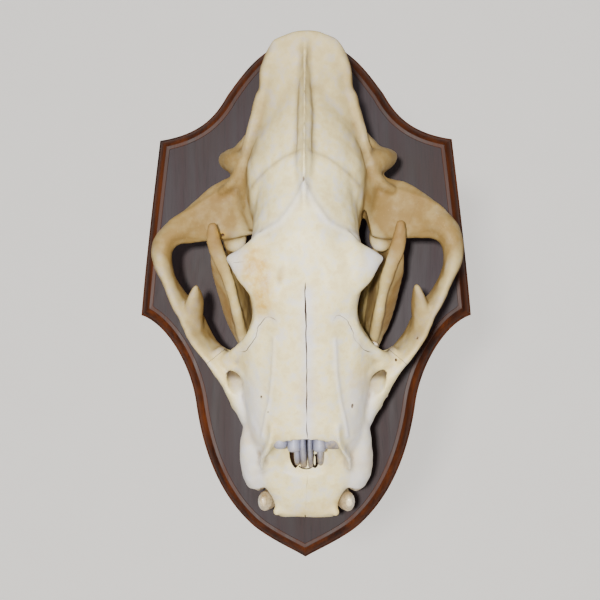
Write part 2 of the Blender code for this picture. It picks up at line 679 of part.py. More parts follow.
def bezier(start, first, second, end, steps):
    """Points along one curve, without its end point."""
    t = np.arange(steps)[:, None] / steps
    start, first, second, end = (np.array(p, dtype=float) for p in (start, first, second, end))
    return (1 - t) ** 3 * start + 3 * t * (1 - t) ** 2 * first + 3 * t * t * (1 - t) * second + t ** 3 * end


def board_outline():
    """Right half of the shield from its top to its tip, then the left half back up: x and z."""
    corner_x, corner_z = CORNER
    point_x, point_z = SIDE_POINT
    waist_x, waist_z = WAIST
    right = np.vstack([
        bezier((0, BOARD_TOP), (36, BOARD_TOP - 3), (52, BOARD_TOP - 26.5), (69, 179), 8),
        bezier((69, 179), (79, 161), (92, 144.5), CORNER, 7),
        bezier(CORNER, (corner_x + 6, 87), (corner_x + 12, 36), SIDE_POINT, 2),
        bezier(SIDE_POINT, (point_x - 22, point_z - 7), (waist_x + 5, waist_z + 34), WAIST, 8),
        bezier(WAIST, (waist_x - 5, waist_z - 36), (78, -172), (44, -200.5), 10),
        bezier((44, -200.5), (29, -212), (10, -220), (0, BOARD_TIP), 5),
    ])
    left = right[1:][::-1] * np.array([-1.0, 1.0])
    return np.vstack([right, [[0, BOARD_TIP]], left])


def inset(outline, distance):
    """The outline moved inwards with mitred corners."""
    before = np.roll(outline, 1, axis=0) - outline
    after = np.roll(outline, -1, axis=0) - outline
    before = before / np.linalg.norm(before, axis=1)[:, None]
    after = after / np.linalg.norm(after, axis=1)[:, None]
    normal_a = np.column_stack([before[:, 1], -before[:, 0]]) * -1
    normal_b = np.column_stack([after[:, 1], -after[:, 0]])
    bisector = normal_a + normal_b
    bisector = bisector / np.linalg.norm(bisector, axis=1)[:, None]
    reach = distance / np.maximum(np.sum(bisector * normal_b, axis=1), 0.3)
    return outline + bisector * reach[:, None]


def make_board():
    """Solid shield with a moulded edge."""
    outline = board_outline()
    rise = BOARD_THICKNESS - BOARD_EDGE
    profile = ((0, 0), (0, BOARD_EDGE), (1.5, BOARD_EDGE + 0.5 * rise), (5.5, BOARD_EDGE + 0.86 * rise),
               (BEVEL_WIDTH - 2.5, BOARD_THICKNESS - 0.4), (BEVEL_WIDTH, BOARD_THICKNESS))
    mesh = bmesh.new()
    rings = []
    for distance, height in profile:
        ring = inset(outline, distance) if distance else outline
        rings.append([mesh.verts.new((x * MM, -height * MM, z * MM)) for x, z in ring])
    count = len(outline)
    for low, high in zip(rings[:-1], rings[1:]):
        for k in range(count):
            n = (k + 1) % count
            mesh.faces.new((low[k], low[n], high[n], high[k]))
    mesh.faces.new(rings[0][::-1])
    mesh.faces.new(rings[-1])
    bmesh.ops.triangulate(mesh, faces=mesh.faces[:])
    bmesh.ops.recalc_face_normals(mesh, faces=mesh.faces[:])
    data = bpy.data.meshes.new("plaque")
    mesh.to_mesh(data)
    mesh.free()
    board = bpy.data.objects.new("plaque", data)
    bpy.context.scene.collection.objects.link(board)
    return board


def make_skull():
    """Cranium with its teeth, and the two cheek arches parted from it at their seams."""
    skull = build("cranium", skull_bodies())
    merge_surface(skull, VOXEL, 0.5, 2)
    hollows = [build("hollow", [part]) for part in skull_hollows()]
    combine(skull, hollows, "DIFFERENCE")
    filling = [build("filling", [part]) for part in nose_filling()]
    combine(skull, filling, "UNION")
    merge_surface(skull, VOXEL, 0.5, 5)
    keep_pieces(skull, (0,))
    thin_out(skull, CRANIUM_SHARE)
    sockets = both([roller(CONDYLE_RADIUS + 0.5, CONDYLE_HALF_LENGTH)])
    seams = both([
        turned(block((-15, -SEAM / 2, -40), (30, SEAM / 2, 40)), (70, 130, 103), -40),
        turned(block((-SEAM / 2, -40, -30), (SEAM / 2, 40, 30)), (84, 240, 104), -24),
    ])
    combine(skull, [build("cut", [part]) for part in sockets + seams], "DIFFERENCE")
    arches = []
    for name, side in (("zygomatic_arch_left", 1), ("zygomatic_arch_right", -1)):
        arch = bpy.data.objects.new(name, skull.data.copy())
        arch.data.name = name
        bpy.context.scene.collection.objects.link(arch)
        keep_side(arch, side)
        arches.append(arch)
    keep_pieces(skull, (0,))
    combine(skull, [build("tooth", [part]) for part in both(upper_teeth())], "UNION")
    keep_pieces(skull, (0,))
    return [skull] + arches


def keep_side(thing, side):
    """Keep the largest piece that lies wholly on one side."""
    mesh = bmesh.new()
    mesh.from_mesh(thing.data)
    groups = islands(mesh)
    outer = [group for group in groups if min(side * v.co.x for face in group for v in face.verts) > 0.03]
    spare = [face for group in groups if group is not outer[0] for face in group]
    bmesh.ops.delete(mesh, geom=spare, context="FACES")
    bmesh.ops.delete(mesh, geom=[vert for vert in mesh.verts if not vert.link_faces], context="VERTS")
    mesh.to_mesh(thing.data)
    mesh.free()


def make_jaw(name, side):
    """One lower jaw with its teeth, flat where it meets its twin and the board."""
    jaw = build(name, facing(jaw_bodies(), side))
    merge_surface(jaw, VOXEL, 0.5, 5)
    keep_pieces(jaw, (0,))
    thin_out(jaw, MANDIBLE_SHARE)
    trims = [block((-20, -20, -30), (SEAM / 2, 300, 80)), block((-20, -20, -30), (150, 300, SEAM))]
    combine(jaw, [build("cut", [part]) for part in facing(trims, side)], "DIFFERENCE")
    keep_pieces(jaw, (0,))
    bones = lower_teeth() + [roller(CONDYLE_RADIUS, CONDYLE_HALF_LENGTH)]
    combine(jaw, [build("tooth", [part]) for part in facing(bones, side)], "UNION")
    keep_pieces(jaw, (0,))
    return jaw


def finish(thing, surface):
    """Give a body its surface and smooth shading."""
    thing.data.materials.clear()
    thing.data.materials.append(surface)
    thing.data.shade_smooth()
    thing.data.set_sharp_from_angle(angle=math.radians(50))


clear_scene()
bone = material("bone", (0.80, 0.72, 0.58), 0.45)
jaw_bone = material("jaw_bone", (0.78, 0.68, 0.52), 0.5)
walnut = material("walnut", (0.11, 0.05, 0.03), 0.3)
board = make_board()
finish(board, walnut)
for part in make_skull():
    hang(part)
    finish(part, bone)
for jaw_name, jaw_side in (("mandible_left", 1), ("mandible_right", -1)):
    jaw = make_jaw(jaw_name, jaw_side)
    hang(jaw)
    finish(jaw, jaw_bone)
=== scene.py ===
"""The dressed lion skull: finer bone, teeth, nose bones and board than the solids, over the same sizes.

The solids come from model.glb, in metres: the board's back at Y = 0, its front facing -Y, +Z up. Bones are
shaped on a table first: x to the animal's left, y from the front teeth to the nape, z up from the board,
in millimetres. The function hang stands them up against the board.
"""

import math

import bmesh
import bpy
import numpy as np
from mathutils import Matrix, Vector
from mathutils.bvhtree import BVHTree


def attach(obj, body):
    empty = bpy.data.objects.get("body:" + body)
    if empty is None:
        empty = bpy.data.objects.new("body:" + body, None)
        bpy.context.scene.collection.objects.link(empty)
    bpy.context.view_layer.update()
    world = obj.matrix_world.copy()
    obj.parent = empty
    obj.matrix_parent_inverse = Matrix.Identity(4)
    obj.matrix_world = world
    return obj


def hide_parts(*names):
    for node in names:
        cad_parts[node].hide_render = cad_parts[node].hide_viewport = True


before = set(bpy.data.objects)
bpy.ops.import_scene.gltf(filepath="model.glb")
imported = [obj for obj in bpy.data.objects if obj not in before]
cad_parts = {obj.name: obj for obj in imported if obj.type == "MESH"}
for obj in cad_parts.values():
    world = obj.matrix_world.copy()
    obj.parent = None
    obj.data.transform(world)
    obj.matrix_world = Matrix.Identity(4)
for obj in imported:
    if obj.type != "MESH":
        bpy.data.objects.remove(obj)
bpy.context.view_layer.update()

MM = 0.001

# Driving sizes of the board
BOARD_THICKNESS = 20.0
BOARD_TOP = 229.0
CORNER = (128.6, 139.0)
SIDE_POINT = (144.6, -15.5)
WAIST = (96.0, -92.0)
BOARD_TIP = -226.0

# Driving sizes of the skull
PROSTHION_Z = -180.5
SKULL_X = 5.3
NOSE_LEAN = 1.6
ARCH_SWAY = 4.5
SEAM = 0.3
TOOTH_LINE = 75.0
LOWER_TOOTH_LINE = 51.0

# How fine the bone and the teeth are melted together
VOXEL = 1.25
TOOTH_VOXEL = 0.7

# Nothing of a parted cheek arch is nearer to the middle plane than this, in metres
ARCH_START = 0.03

# Way along the skull, for bodies that keep upright sections
FORWARD = (0, 1, 0)

# Braincase, forehead and snout in one: y, half width, low, widest and top height, upper and lower power
SKULL_STATIONS = (
    (0.3, 22.5, 73, 77.5, 81.5, 2.8, 2.4),
    (3.5, 24.5, 73, 79, 86, 2.6, 2.2),
    (8, 25, 73.5, 80.5, 89, 2.5, 2.2),
    (14, 26.2, 74, 82, 92, 2.4, 2.2),
    (20, 29.8, 74.5, 84, 95, 2.4, 2.2),
    (28, 35, 75, 86, 98, 2.5, 2.2),
    (38, 40, 76, 88, 102, 2.6, 2.2),
    (48, 44, 78, 90, 109, 2.3, 2.2),
    (57, 46, 79, 92, 124, 2.1, 2.2),
    (66, 47.5, 80, 93, 139, 2.2, 2.2),
    (76, 48.5, 80, 94, 143.5, 2.3, 2.2),
    (92, 49.5, 81, 97, 148.5, 2.3, 2.3),
    (108, 51.5, 82, 100, 154, 2.3, 2.3),
    (122, 54, 84, 106, 159, 2.2, 2.3),
    (133, 56, 86, 112, 163, 2.1, 2.3),
    (142, 49.5, 90, 124, 166, 2.2, 2.3),
    (152, 43, 92, 138, 170, 2.5, 2.0),
    (164, 39.5, 92, 150, 174, 2.9, 1.7),
    (176, 41.5, 92, 156, 177, 3.0, 1.6),
    (188, 45, 92, 158, 179.5, 2.8, 1.6),
    (200, 46.5, 92, 154, 181, 2.5, 1.7),
    (212, 43.5, 92, 144, 181, 2.2, 1.9),
    (226, 41, 91, 134, 180, 2.0, 2.1),
    (244, 41, 91, 126, 176, 1.9, 2.3),
    (262, 43.5, 91, 120, 170, 1.8, 2.4),
    (280, 47.5, 91, 116, 164, 1.8, 2.5),
    (298, 47, 91, 115, 159, 1.7, 2.5),
    (314, 41.5, 93, 119, 156, 1.6, 2.3),
    (328, 37, 100, 126, 154.5, 1.5, 2.2),
    (342, 35.5, 113, 132, 153.5, 1.6, 2.1),
    (354, 34, 125, 138, 152.5, 1.7, 2.0),
    (364, 30.5, 134, 143, 153, 1.8, 2.0),
    (371, 25.5, 140, 147, 154, 1.9, 2.0),
    (375, 19, 144, 149.5, 154.5, 2.0, 2.0),
    (377.3, 9, 148, 151, 154, 2.0, 2.0),
)

# Upper jaw and palate below the snout and the eyes, in the same columns
PALATE_STATIONS = (
    (30, 34, 74, 86, 96, 2.4, 3.0),
    (52, 41, 75, 88, 100, 2.4, 3.2),
    (76, 45, 75, 89, 102, 2.4, 3.2),
    (98, 52, 75, 91, 106, 2.4, 3.2),
    (116, 58, 75.5, 92, 110, 2.4, 3.0),
    (130, 57, 77, 95, 112, 2.2, 2.6),
    (142, 50, 80, 97, 111, 2.2, 2.3),
    (153, 37, 83, 97, 108, 2.0, 2.0),
    (172, 24, 86, 95, 106, 2.0, 2.2),
    (196, 22, 88, 96, 108, 2.0, 2.2),
    (214, 24, 89, 98, 110, 2.0, 2.2),
)

# Cheek arch of one side: x, y, z, half thickness across, half depth, lean of the plate in degrees
ARCH_STATIONS = (
    (41, 76, 96, 9, 16, -8),
    (49, 92, 97, 9.3, 18, -12),
    (56, 107, 99, 9, 18.5, -17),
    (65, 120.5, 101, 7.6, 19, -20),
    (73.5, 130.5, 103, 5.6, 19.5, -20),
    (81.5, 140.5, 104, 5.2, 20, -20),
    (87, 150.5, 105, 5.2, 20, -21),
    (92, 161, 107, 5.2, 19.5, -20),
    (101, 174.5, 110, 5.4, 17, -14),
    (108.5, 189, 112, 5.4, 13.5, -8),
    (113.5, 201, 112, 7.2, 13, -3),
    (115, 211, 111, 8.2, 12.5, 0),
    (113, 221, 110, 9.3, 12, 4),
    (105, 229.5, 108, 11, 11.5, 7),
    (94, 235, 105, 15, 10, 8),
    (81, 240, 102, 20, 9, 5),
    (67, 245, 101, 24, 8.5, 0),
    (52, 249, 103, 25, 10, 0),
    (38, 252, 106, 25, 13, 0),
)

# Ridge where the temple muscles met: y, half thickness, low and top height
CREST_STATIONS = (
    (238, 4.0, 160, 178.5),
    (254, 2.2, 155, 179.2),
    (280, 1.5, 150, 176.5),
    (310, 1.4, 146, 171.0),
    (336, 1.6, 144, 165.5),
    (356, 2.2, 144, 160.0),
    (368, 3.6, 144, 156.5),
    (373, 5.0, 148, 154.5),
)

# Half thickness of the crest's foot
CREST_FOOT = 7.5

# Body of one lower jaw: x, y, z, half thickness, half depth, lean
JAW_STATIONS = (
    (7, 11, 41, 7, 9, 0),
    (10, 18, 37, 10.5, 15, 0),
    (14, 32, 31, 13, 21, 0),
    (20, 50, 27.5, 11.5, 23.5, 0),
    (27, 72, 26, 10, 25, 0),
    (34, 96, 25.5, 9.5, 26, 2),
    (40, 120, 26, 9.5, 26.5, 4),
    (45, 144, 27, 9.5, 27, 6),
    (49, 166, 29, 8.5, 27, 8),
    (53, 190, 32, 7.5, 25, 8),
    (57, 212, 35, 6.5, 21, 8),
    (62, 232, 38, 5.5, 15, 8),
    (65, 247, 40, 5, 9, 8),
    (66, 255, 40, 4.5, 6, 8),
)

# Rising blade behind the lower teeth: y, x and z of its foot, x and z of its edge, half thickness
BLADE_STATIONS = (
    (136, 46, 34, 50.5, 62, 5.0),
    (142, 46, 33, 52.5, 73, 5.2),
    (158, 47, 31, 55.5, 87, 5.2),
    (174, 49, 30, 58.0, 98, 4.8),
    (188, 52, 30, 61.0, 107, 4.4),
    (199, 55, 30, 64.0, 112, 4.0),
    (206, 57, 30, 65.5, 104, 3.8),
    (213, 59, 31, 65.5, 89, 3.6),
    (226, 61, 31, 65.5, 80, 3.8),
    (240, 64, 34, 67, 79, 4.0),
    (248, 65, 38, 67, 78, 4.4),
    (255, 66, 46, 67, 72, 4.0),
)

# Jaw joint: a crosswise roller under the root of the arch
CONDYLE = (67.5, 251.0, 80.5)
CONDYLE_RADIUS = 8.4
CONDYLE_HALF_LENGTH = 20.0

# Teeth that are single cones: x, y and height of stations along the tooth, with half widths in x and y
UPPER_CANINE = (
    (37.4, 40.5, 90, 5.6, 7.5),
    (38.2, 36.6, 84, 7.6, 10.2),
    (38.6, 34.0, 77, 8.6, 11.4),
    (39.6, 29.5, 64, 7.9, 10.2),
    (40.0, 27.0, 48, 6.2, 7.6),
    (39.6, 27.0, 34, 3.9, 4.6),
    (39.0, 28.5, 24, 1.6, 1.9),
)
LOWER_CANINE = (
    (20.0, 28.0, 34, 8.0, 10.5),
    (24.6, 20.5, 50, 7.6, 10.4),
    (28.6, 15.2, 62, 6.8, 8.8),
    (31.8, 12.8, 72, 6.0, 8.2),
    (33.6, 12.8, 80, 5.6, 8.0),
    (34.2, 13.0, 86, 4.6, 6.6),
    (34.6, 13.2, 89.5, 2.4, 3.4),
)
UPPER_INCISORS = ((4.1, 5.5, 11.0, 3.3), (11.0, 7.0, 12.5, 3.5), (18.3, 10.5, 17.0, 4.2))
LOWER_INCISORS = ((3.2, 15.0, 10.0, 2.3), (8.1, 16.2, 10.5, 2.6), (13.4, 18.6, 11.5, 2.9))

# Cheek teeth: x, y, turn in degrees, half width, then one (place along, height, half length) per cusp
UPPER_CHEEK = (
    (40.5, 59.0, 4, 3.2, ((0, 6, 4.2),)),
    (43.0, 78.5, 14, 5.2, ((-9, 6, 4.5), (-1, 17, 8.5), (9, 8, 4.8))),
    (54.2, 113.0, 22, 6.0, ((-15, 10, 5.5), (-4, 21, 9.0), (11, 15, 9.5))),
    (53.0, 139.0, 70, 3.4, ((0, 4.5, 5.0),)),
)
LOWER_CHEEK = (
    (29.5, 66.5, 12, 4.0, ((-5, 5, 3.4), (0, 12, 6.0), (6.5, 6, 3.6))),
    (34.4, 90.0, 13, 4.7, ((-9, 7, 4.2), (-0.5, 16, 8.0), (9, 8, 4.4))),
    (40.3, 117.0, 14, 5.0, ((-7.5, 16, 8.0), (7.5, 18, 8.2))),
)


def blend(rows, places):
    """Columns of a table at places between its rows, smooth and without overshoot."""
    rows = np.array(rows, dtype=float)
    knots = rows[:, 0]
    values = rows[:, 1:]
    gap = np.diff(knots)[:, None]
    slope = np.diff(values, axis=0) / gap
    product = slope[:-1] * slope[1:]
    total = np.where(product > 0, slope[:-1] + slope[1:], 1.0)
    inner = np.where(product > 0, 2.0 * product / total, 0.0)
    tangent = np.vstack([slope[:1], inner, slope[-1:]])
    index = np.clip(np.searchsorted(knots, places, side="right") - 1, 0, len(knots) - 2)
    width = gap[index]
    t = (np.asarray(places)[:, None] - knots[index][:, None]) / width
    return (
        values[index] * (1 + 2 * t) * (1 - t) ** 2
        + tangent[index] * width * t * (1 - t) ** 2
        + values[index + 1] * t * t * (3 - 2 * t)
        - tangent[index + 1] * width * t * t * (1 - t)
    )


def skin(rings):
    """Close a stack of equal rings of points into a body: its points and faces."""
    count, around = rings.shape[:2]
    points = np.vstack([rings.reshape(-1, 3), rings[0].mean(axis=0), rings[-1].mean(axis=0)])
    faces = []
    for ring in range(count - 1):
        for k in range(around):
            a = ring * around + k
            b = ring * around + (k + 1) % around
            faces.append((a, b, b + around, a + around))
    last = (count - 1) * around
    for k in range(around):
        faces.append((count * around, (k + 1) % around, k))
        faces.append((count * around + 1, last + k, last + (k + 1) % around))
    return points, faces


def loft(stations, rings=70, around=44):
    """Body along y with flattened oval sections, the same left and right."""
    places = np.linspace(stations[0][0], stations[-1][0], rings)
    table = blend(stations, places)
    angle = np.arange(around) * 2 * math.pi / around
    cosine = np.cos(angle)[None, :]
    sine = np.sin(angle)[None, :]
    half, low, wide, top, upper, lower = (table[:, k : k + 1] for k in range(6))
    power = np.where(sine > 0, upper, lower)
    reach = np.where(sine > 0, top - wide, wide - low)
    x = half * np.sign(cosine) * np.abs(cosine) ** (2 / power)
    z = wide + reach * np.sign(sine) * np.abs(sine) ** (2 / power)
    y = np.repeat(places[:, None], around, axis=1)
    return skin(np.stack([x, y, z], axis=2))


def along_path(stations, rings):
    """A station table whose first columns are x, y, z, sampled evenly along its path."""
    rows = np.array(stations, dtype=float)
    steps = np.linalg.norm(np.diff(rows[:, :3], axis=0), axis=1)
    length = np.concatenate([[0.0], np.cumsum(steps)])
    return blend(np.column_stack([length, rows]), np.linspace(0, length[-1], rings))


def tube(stations, rings=40, around=20, along=None):
    """Body along a path of (x, y, z, half thickness, half depth and perhaps lean in degrees)."""
    table = along_path(stations, rings)
    centre = table[:, :3]
    run = np.gradient(centre, axis=0) if along is None else np.repeat([along], rings, axis=0)
    run = run / np.linalg.norm(run, axis=1)[:, None]
    side = np.cross(run, (0, 0, 1))
    side = side / np.linalg.norm(side, axis=1)[:, None]
    deep = np.cross(side, run)
    lean = np.radians(table[:, 5:]) if table.shape[1] > 5 else np.zeros((rings, 1))
    across = side * np.cos(lean) + deep * np.sin(lean)
    deep = deep * np.cos(lean) - side * np.sin(lean)
    angle = np.arange(around) * 2 * math.pi / around
    ring = (
        across[:, None] * table[:, 3, None, None] * np.cos(angle)[None, :, None]
        + deep[:, None] * table[:, 4, None, None] * np.sin(angle)[None, :, None]
    )
    return skin(centre[:, None] + ring)


def ball(centre, radii, turn=(0, 0, 0), detail=3):
    """Egg shape with three half sizes, turned by three angles in degrees."""
    mesh = bmesh.new()
    bmesh.ops.create_icosphere(mesh, subdivisions=detail, radius=1.0)
    spin = Matrix.Identity(3)
    for axis, degrees in zip("XYZ", turn):
        spin = Matrix.Rotation(math.radians(degrees), 3, axis) @ spin
    points = np.array([spin @ Vector(v.co[k] * radii[k] for k in range(3)) for v in mesh.verts])
    faces = [tuple(v.index for v in face.verts) for face in mesh.faces]
    mesh.free()
    return points + np.array(centre), faces


def mirrored(part):
    """The same body on the other side of the skull."""
    points, faces = part
    return points * np.array([-1.0, 1.0, 1.0]), [face[::-1] for face in faces]


def both(parts):
    """Bodies with their mirror images."""
    return list(parts) + [mirrored(part) for part in parts]


def facing(parts, side):
    """Bodies for one side of the skull: 1 for the animal's left, -1 for its right."""
    return list(parts) if side > 0 else [mirrored(part) for part in parts]


def put(name, data):
    """New object in the scene."""
    thing = bpy.data.objects.new(name, data)
    bpy.context.scene.collection.objects.link(thing)
    return thing


def build(name, parts):
    """One object in the scene from several bodies, at the size of metres."""
    points = []
    faces = []
    offset = 0
    for part_points, part_faces in parts:
        points.append(np.asarray(part_points) * MM)
        faces.extend(tuple(index + offset for index in face) for face in part_faces)
        offset += len(part_points)
    mesh = bpy.data.meshes.new(name)
    mesh.from_pydata(np.vstack(points).tolist(), [], faces)
    shape = bmesh.new()
    shape.from_mesh(mesh)
    bmesh.ops.recalc_face_normals(shape, faces=shape.faces[:])
    shape.to_mesh(mesh)
    shape.free()
    return put(name, mesh)


def settle(thing):
    """Turn an object's modifiers into its own mesh."""
    graph = bpy.context.evaluated_depsgraph_get()
    mesh = bpy.data.meshes.new_from_object(thing.evaluated_get(graph))
    thing.modifiers.clear()
    thing.data = mesh


def merge_surface(thing, voxel, rounds):
    """Melt overlapping bodies into one surface and soften it."""
    remesh = thing.modifiers.new("melt", "REMESH")
    remesh.mode = "VOXEL"
    remesh.voxel_size = voxel * MM
    soften = thing.modifiers.new("soften", "SMOOTH")
    soften.factor = 0.5
    soften.iterations = rounds
    settle(thing)


def combine(thing, others, operation):
    """Join or cut an object with several closed ones, which are then removed."""
    group = bpy.data.collections.new("operands")
    bpy.context.scene.collection.children.link(group)
    for other in others:
        for home in list(other.users_collection):
            home.objects.unlink(other)
        group.objects.link(other)
    boolean = thing.modifiers.new("combine", "BOOLEAN")
    boolean.operation = operation
    boolean.operand_type = "COLLECTION"
    boolean.collection = group
    boolean.solver = "MANIFOLD"
    settle(thing)
    for other in others:
        bpy.data.objects.remove(other, do_unlink=True)
    bpy.data.collections.remove(group)


def cut(thing, parts):
    """Take bodies out of an object."""
    combine(thing, [build("cut", [part]) for part in parts], "DIFFERENCE")


def islands(mesh):
    """Groups of connected faces in a bmesh, largest first."""
    seen = set()
    groups = []
    for first in mesh.faces:
        if first in seen:
            continue
        seen.add(first)
        stack = [first]
        group = []
        while stack:
            face = stack.pop()
            group.append(face)
            for edge in face.edges:
                for other in edge.link_faces:
                    if other not in seen:
                        seen.add(other)
                        stack.append(other)
        groups.append(group)
    return sorted(groups, key=len, reverse=True)


def keep_only(thing, wanted):
    """Keep the first group of connected faces that a test wants, counted from the largest."""
    mesh = bmesh.new()
    mesh.from_mesh(thing.data)
    groups = islands(mesh)
    kept = next(group for group in groups if wanted(group))
    spare = [face for group in groups if group is not kept for face in group]
    bmesh.ops.delete(mesh, geom=spare, context="FACES")
    bmesh.ops.delete(mesh, geom=[vert for vert in mesh.verts if not vert.link_faces], context="VERTS")
    mesh.to_mesh(thing.data)
    mesh.free()


def keep_largest(thing):
    """Keep the largest piece of an object."""
    keep_only(thing, lambda group: True)


def block(low, high):
    """Plain box between two corners."""
    x0, y0, z0 = low
    x1, y1, z1 = high
    points = np.array([(x, y, z) for x in (x0, x1) for y in (y0, y1) for z in (z0, z1)], dtype=float)
    faces = [(0, 1, 3, 2), (4, 6, 7, 5), (0, 4, 5, 1), (2, 3, 7, 6), (0, 2, 6, 4), (1, 5, 7, 3)]
    return points, faces


def turned(part, centre, degrees):
    """Turn a body about the upright axis and move it to a place."""
    points, faces = part
    angle = math.radians(degrees)
    cos, sin = math.cos(angle), math.sin(angle)
    spin = np.array([[cos, sin, 0], [-sin, cos, 0], [0, 0, 1]])
    return points @ spin + np.array(centre), faces


def roller(radius, half_length, around=14):
    """Round bar lying along x at the jaw joint, its ends domed."""
    cx, cy, cz = CONDYLE
    grow = radius - CONDYLE_RADIUS
    half_shape = ((0.5, 1.0), (0.78, 0.93), (0.93, 0.75), (1.0, 0.45))
    shape = [(-place, size) for place, size in reversed(half_shape)] + list(half_shape)
    angle = np.arange(around) * 2 * math.pi / around
    rings = []
    for place, size in shape:
        reach = CONDYLE_RADIUS * size + grow
        x = np.full(around, cx + place * (half_length + grow))
        rings.append(np.column_stack([x, cy + reach * np.cos(angle), cz + reach * np.sin(angle)]))
    return skin(np.array(rings))


def cone(stations, around=12, rings=7):
    """Tapering tooth through (x, y, z, half width in x, half width in y)."""
    table = along_path(stations, rings)
    angle = np.arange(around) * 2 * math.pi / around
    x = table[:, 0:1] + table[:, 3:4] * np.cos(angle)[None]
    y = table[:, 1:2] + table[:, 4:5] * np.sin(angle)[None]
    z = np.repeat(table[:, 2:3], around, axis=1)
    return skin(np.stack([x, y, z], axis=2))


def incisor(x, y, crown, half, gum, direction):
    """Small chisel tooth growing from the gum line, up or down."""
    lean = -0.22 * direction
    heights = ((-9, 0.8, 1.2), (0, 0.95, 1.3), (0.45, 1.0, 1.15), (0.8, 0.85, 0.8), (1.0, 0.45, 0.4))
    stations = []
    for place, width, depth in heights:
        rise = place if place < 0 else place * crown
        stations.append((x, y - abs(lean) * rise, gum + direction * rise, half * width, half * depth))
    return cone(stations, around=8, rings=5)


def cheek_tooth(x, y, turn, half, cusps, gum, direction):
    """Blade tooth: one flattened cone for each cusp, set along a line."""
    parts = []
    longest = max(abs(place) + reach for place, height, reach in cusps)
    parts.append(cone(((0, 0, -8, half * 0.75, longest * 0.8), (0, 0, 1, half, longest * 0.97),
                       (0, 0, 4, half * 0.7, longest * 0.8)), around=8, rings=3))
    for place, height, reach in cusps:
        shape = ((-6, 0.7, 0.8), (0, 1.0, 1.0), (0.35, 0.86, 0.86), (0.75, 0.45, 0.5), (1.0, 0.12, 0.16))
        rows = [(0, place, (h if h < 0 else h * height), half * a, reach * b) for h, a, b in shape]
        parts.append(cone(rows, around=8, rings=5))
    placed = []
    for points, faces in parts:
        points = points * np.array([1, 1, direction])
        placed.append(turned((points, faces), (x, y, gum), turn))
    return placed


def upper_teeth():
    """Teeth of one side of the upper jaw, as separate closed bodies."""
    parts = [cone(UPPER_CANINE)]
    for x, y, crown, half in UPPER_INCISORS:
        parts.append(incisor(x, y, crown, half, TOOTH_LINE + 1, -1))
    for x, y, turn, half, cusps in UPPER_CHEEK:
        parts.extend(cheek_tooth(x, y, turn, half, cusps, TOOTH_LINE + 1, -1))
    return parts


def lower_teeth():
    """Teeth of one side of the lower jaw."""
    parts = [cone(LOWER_CANINE)]
    for x, y, crown, half in LOWER_INCISORS:
        parts.append(incisor(x, y, crown, half, LOWER_TOOTH_LINE + 1, 1))
    for x, y, turn, half, cusps in LOWER_CHEEK:
        parts.extend(cheek_tooth(x, y, turn, half, cusps, LOWER_TOOTH_LINE, 1))
    return parts


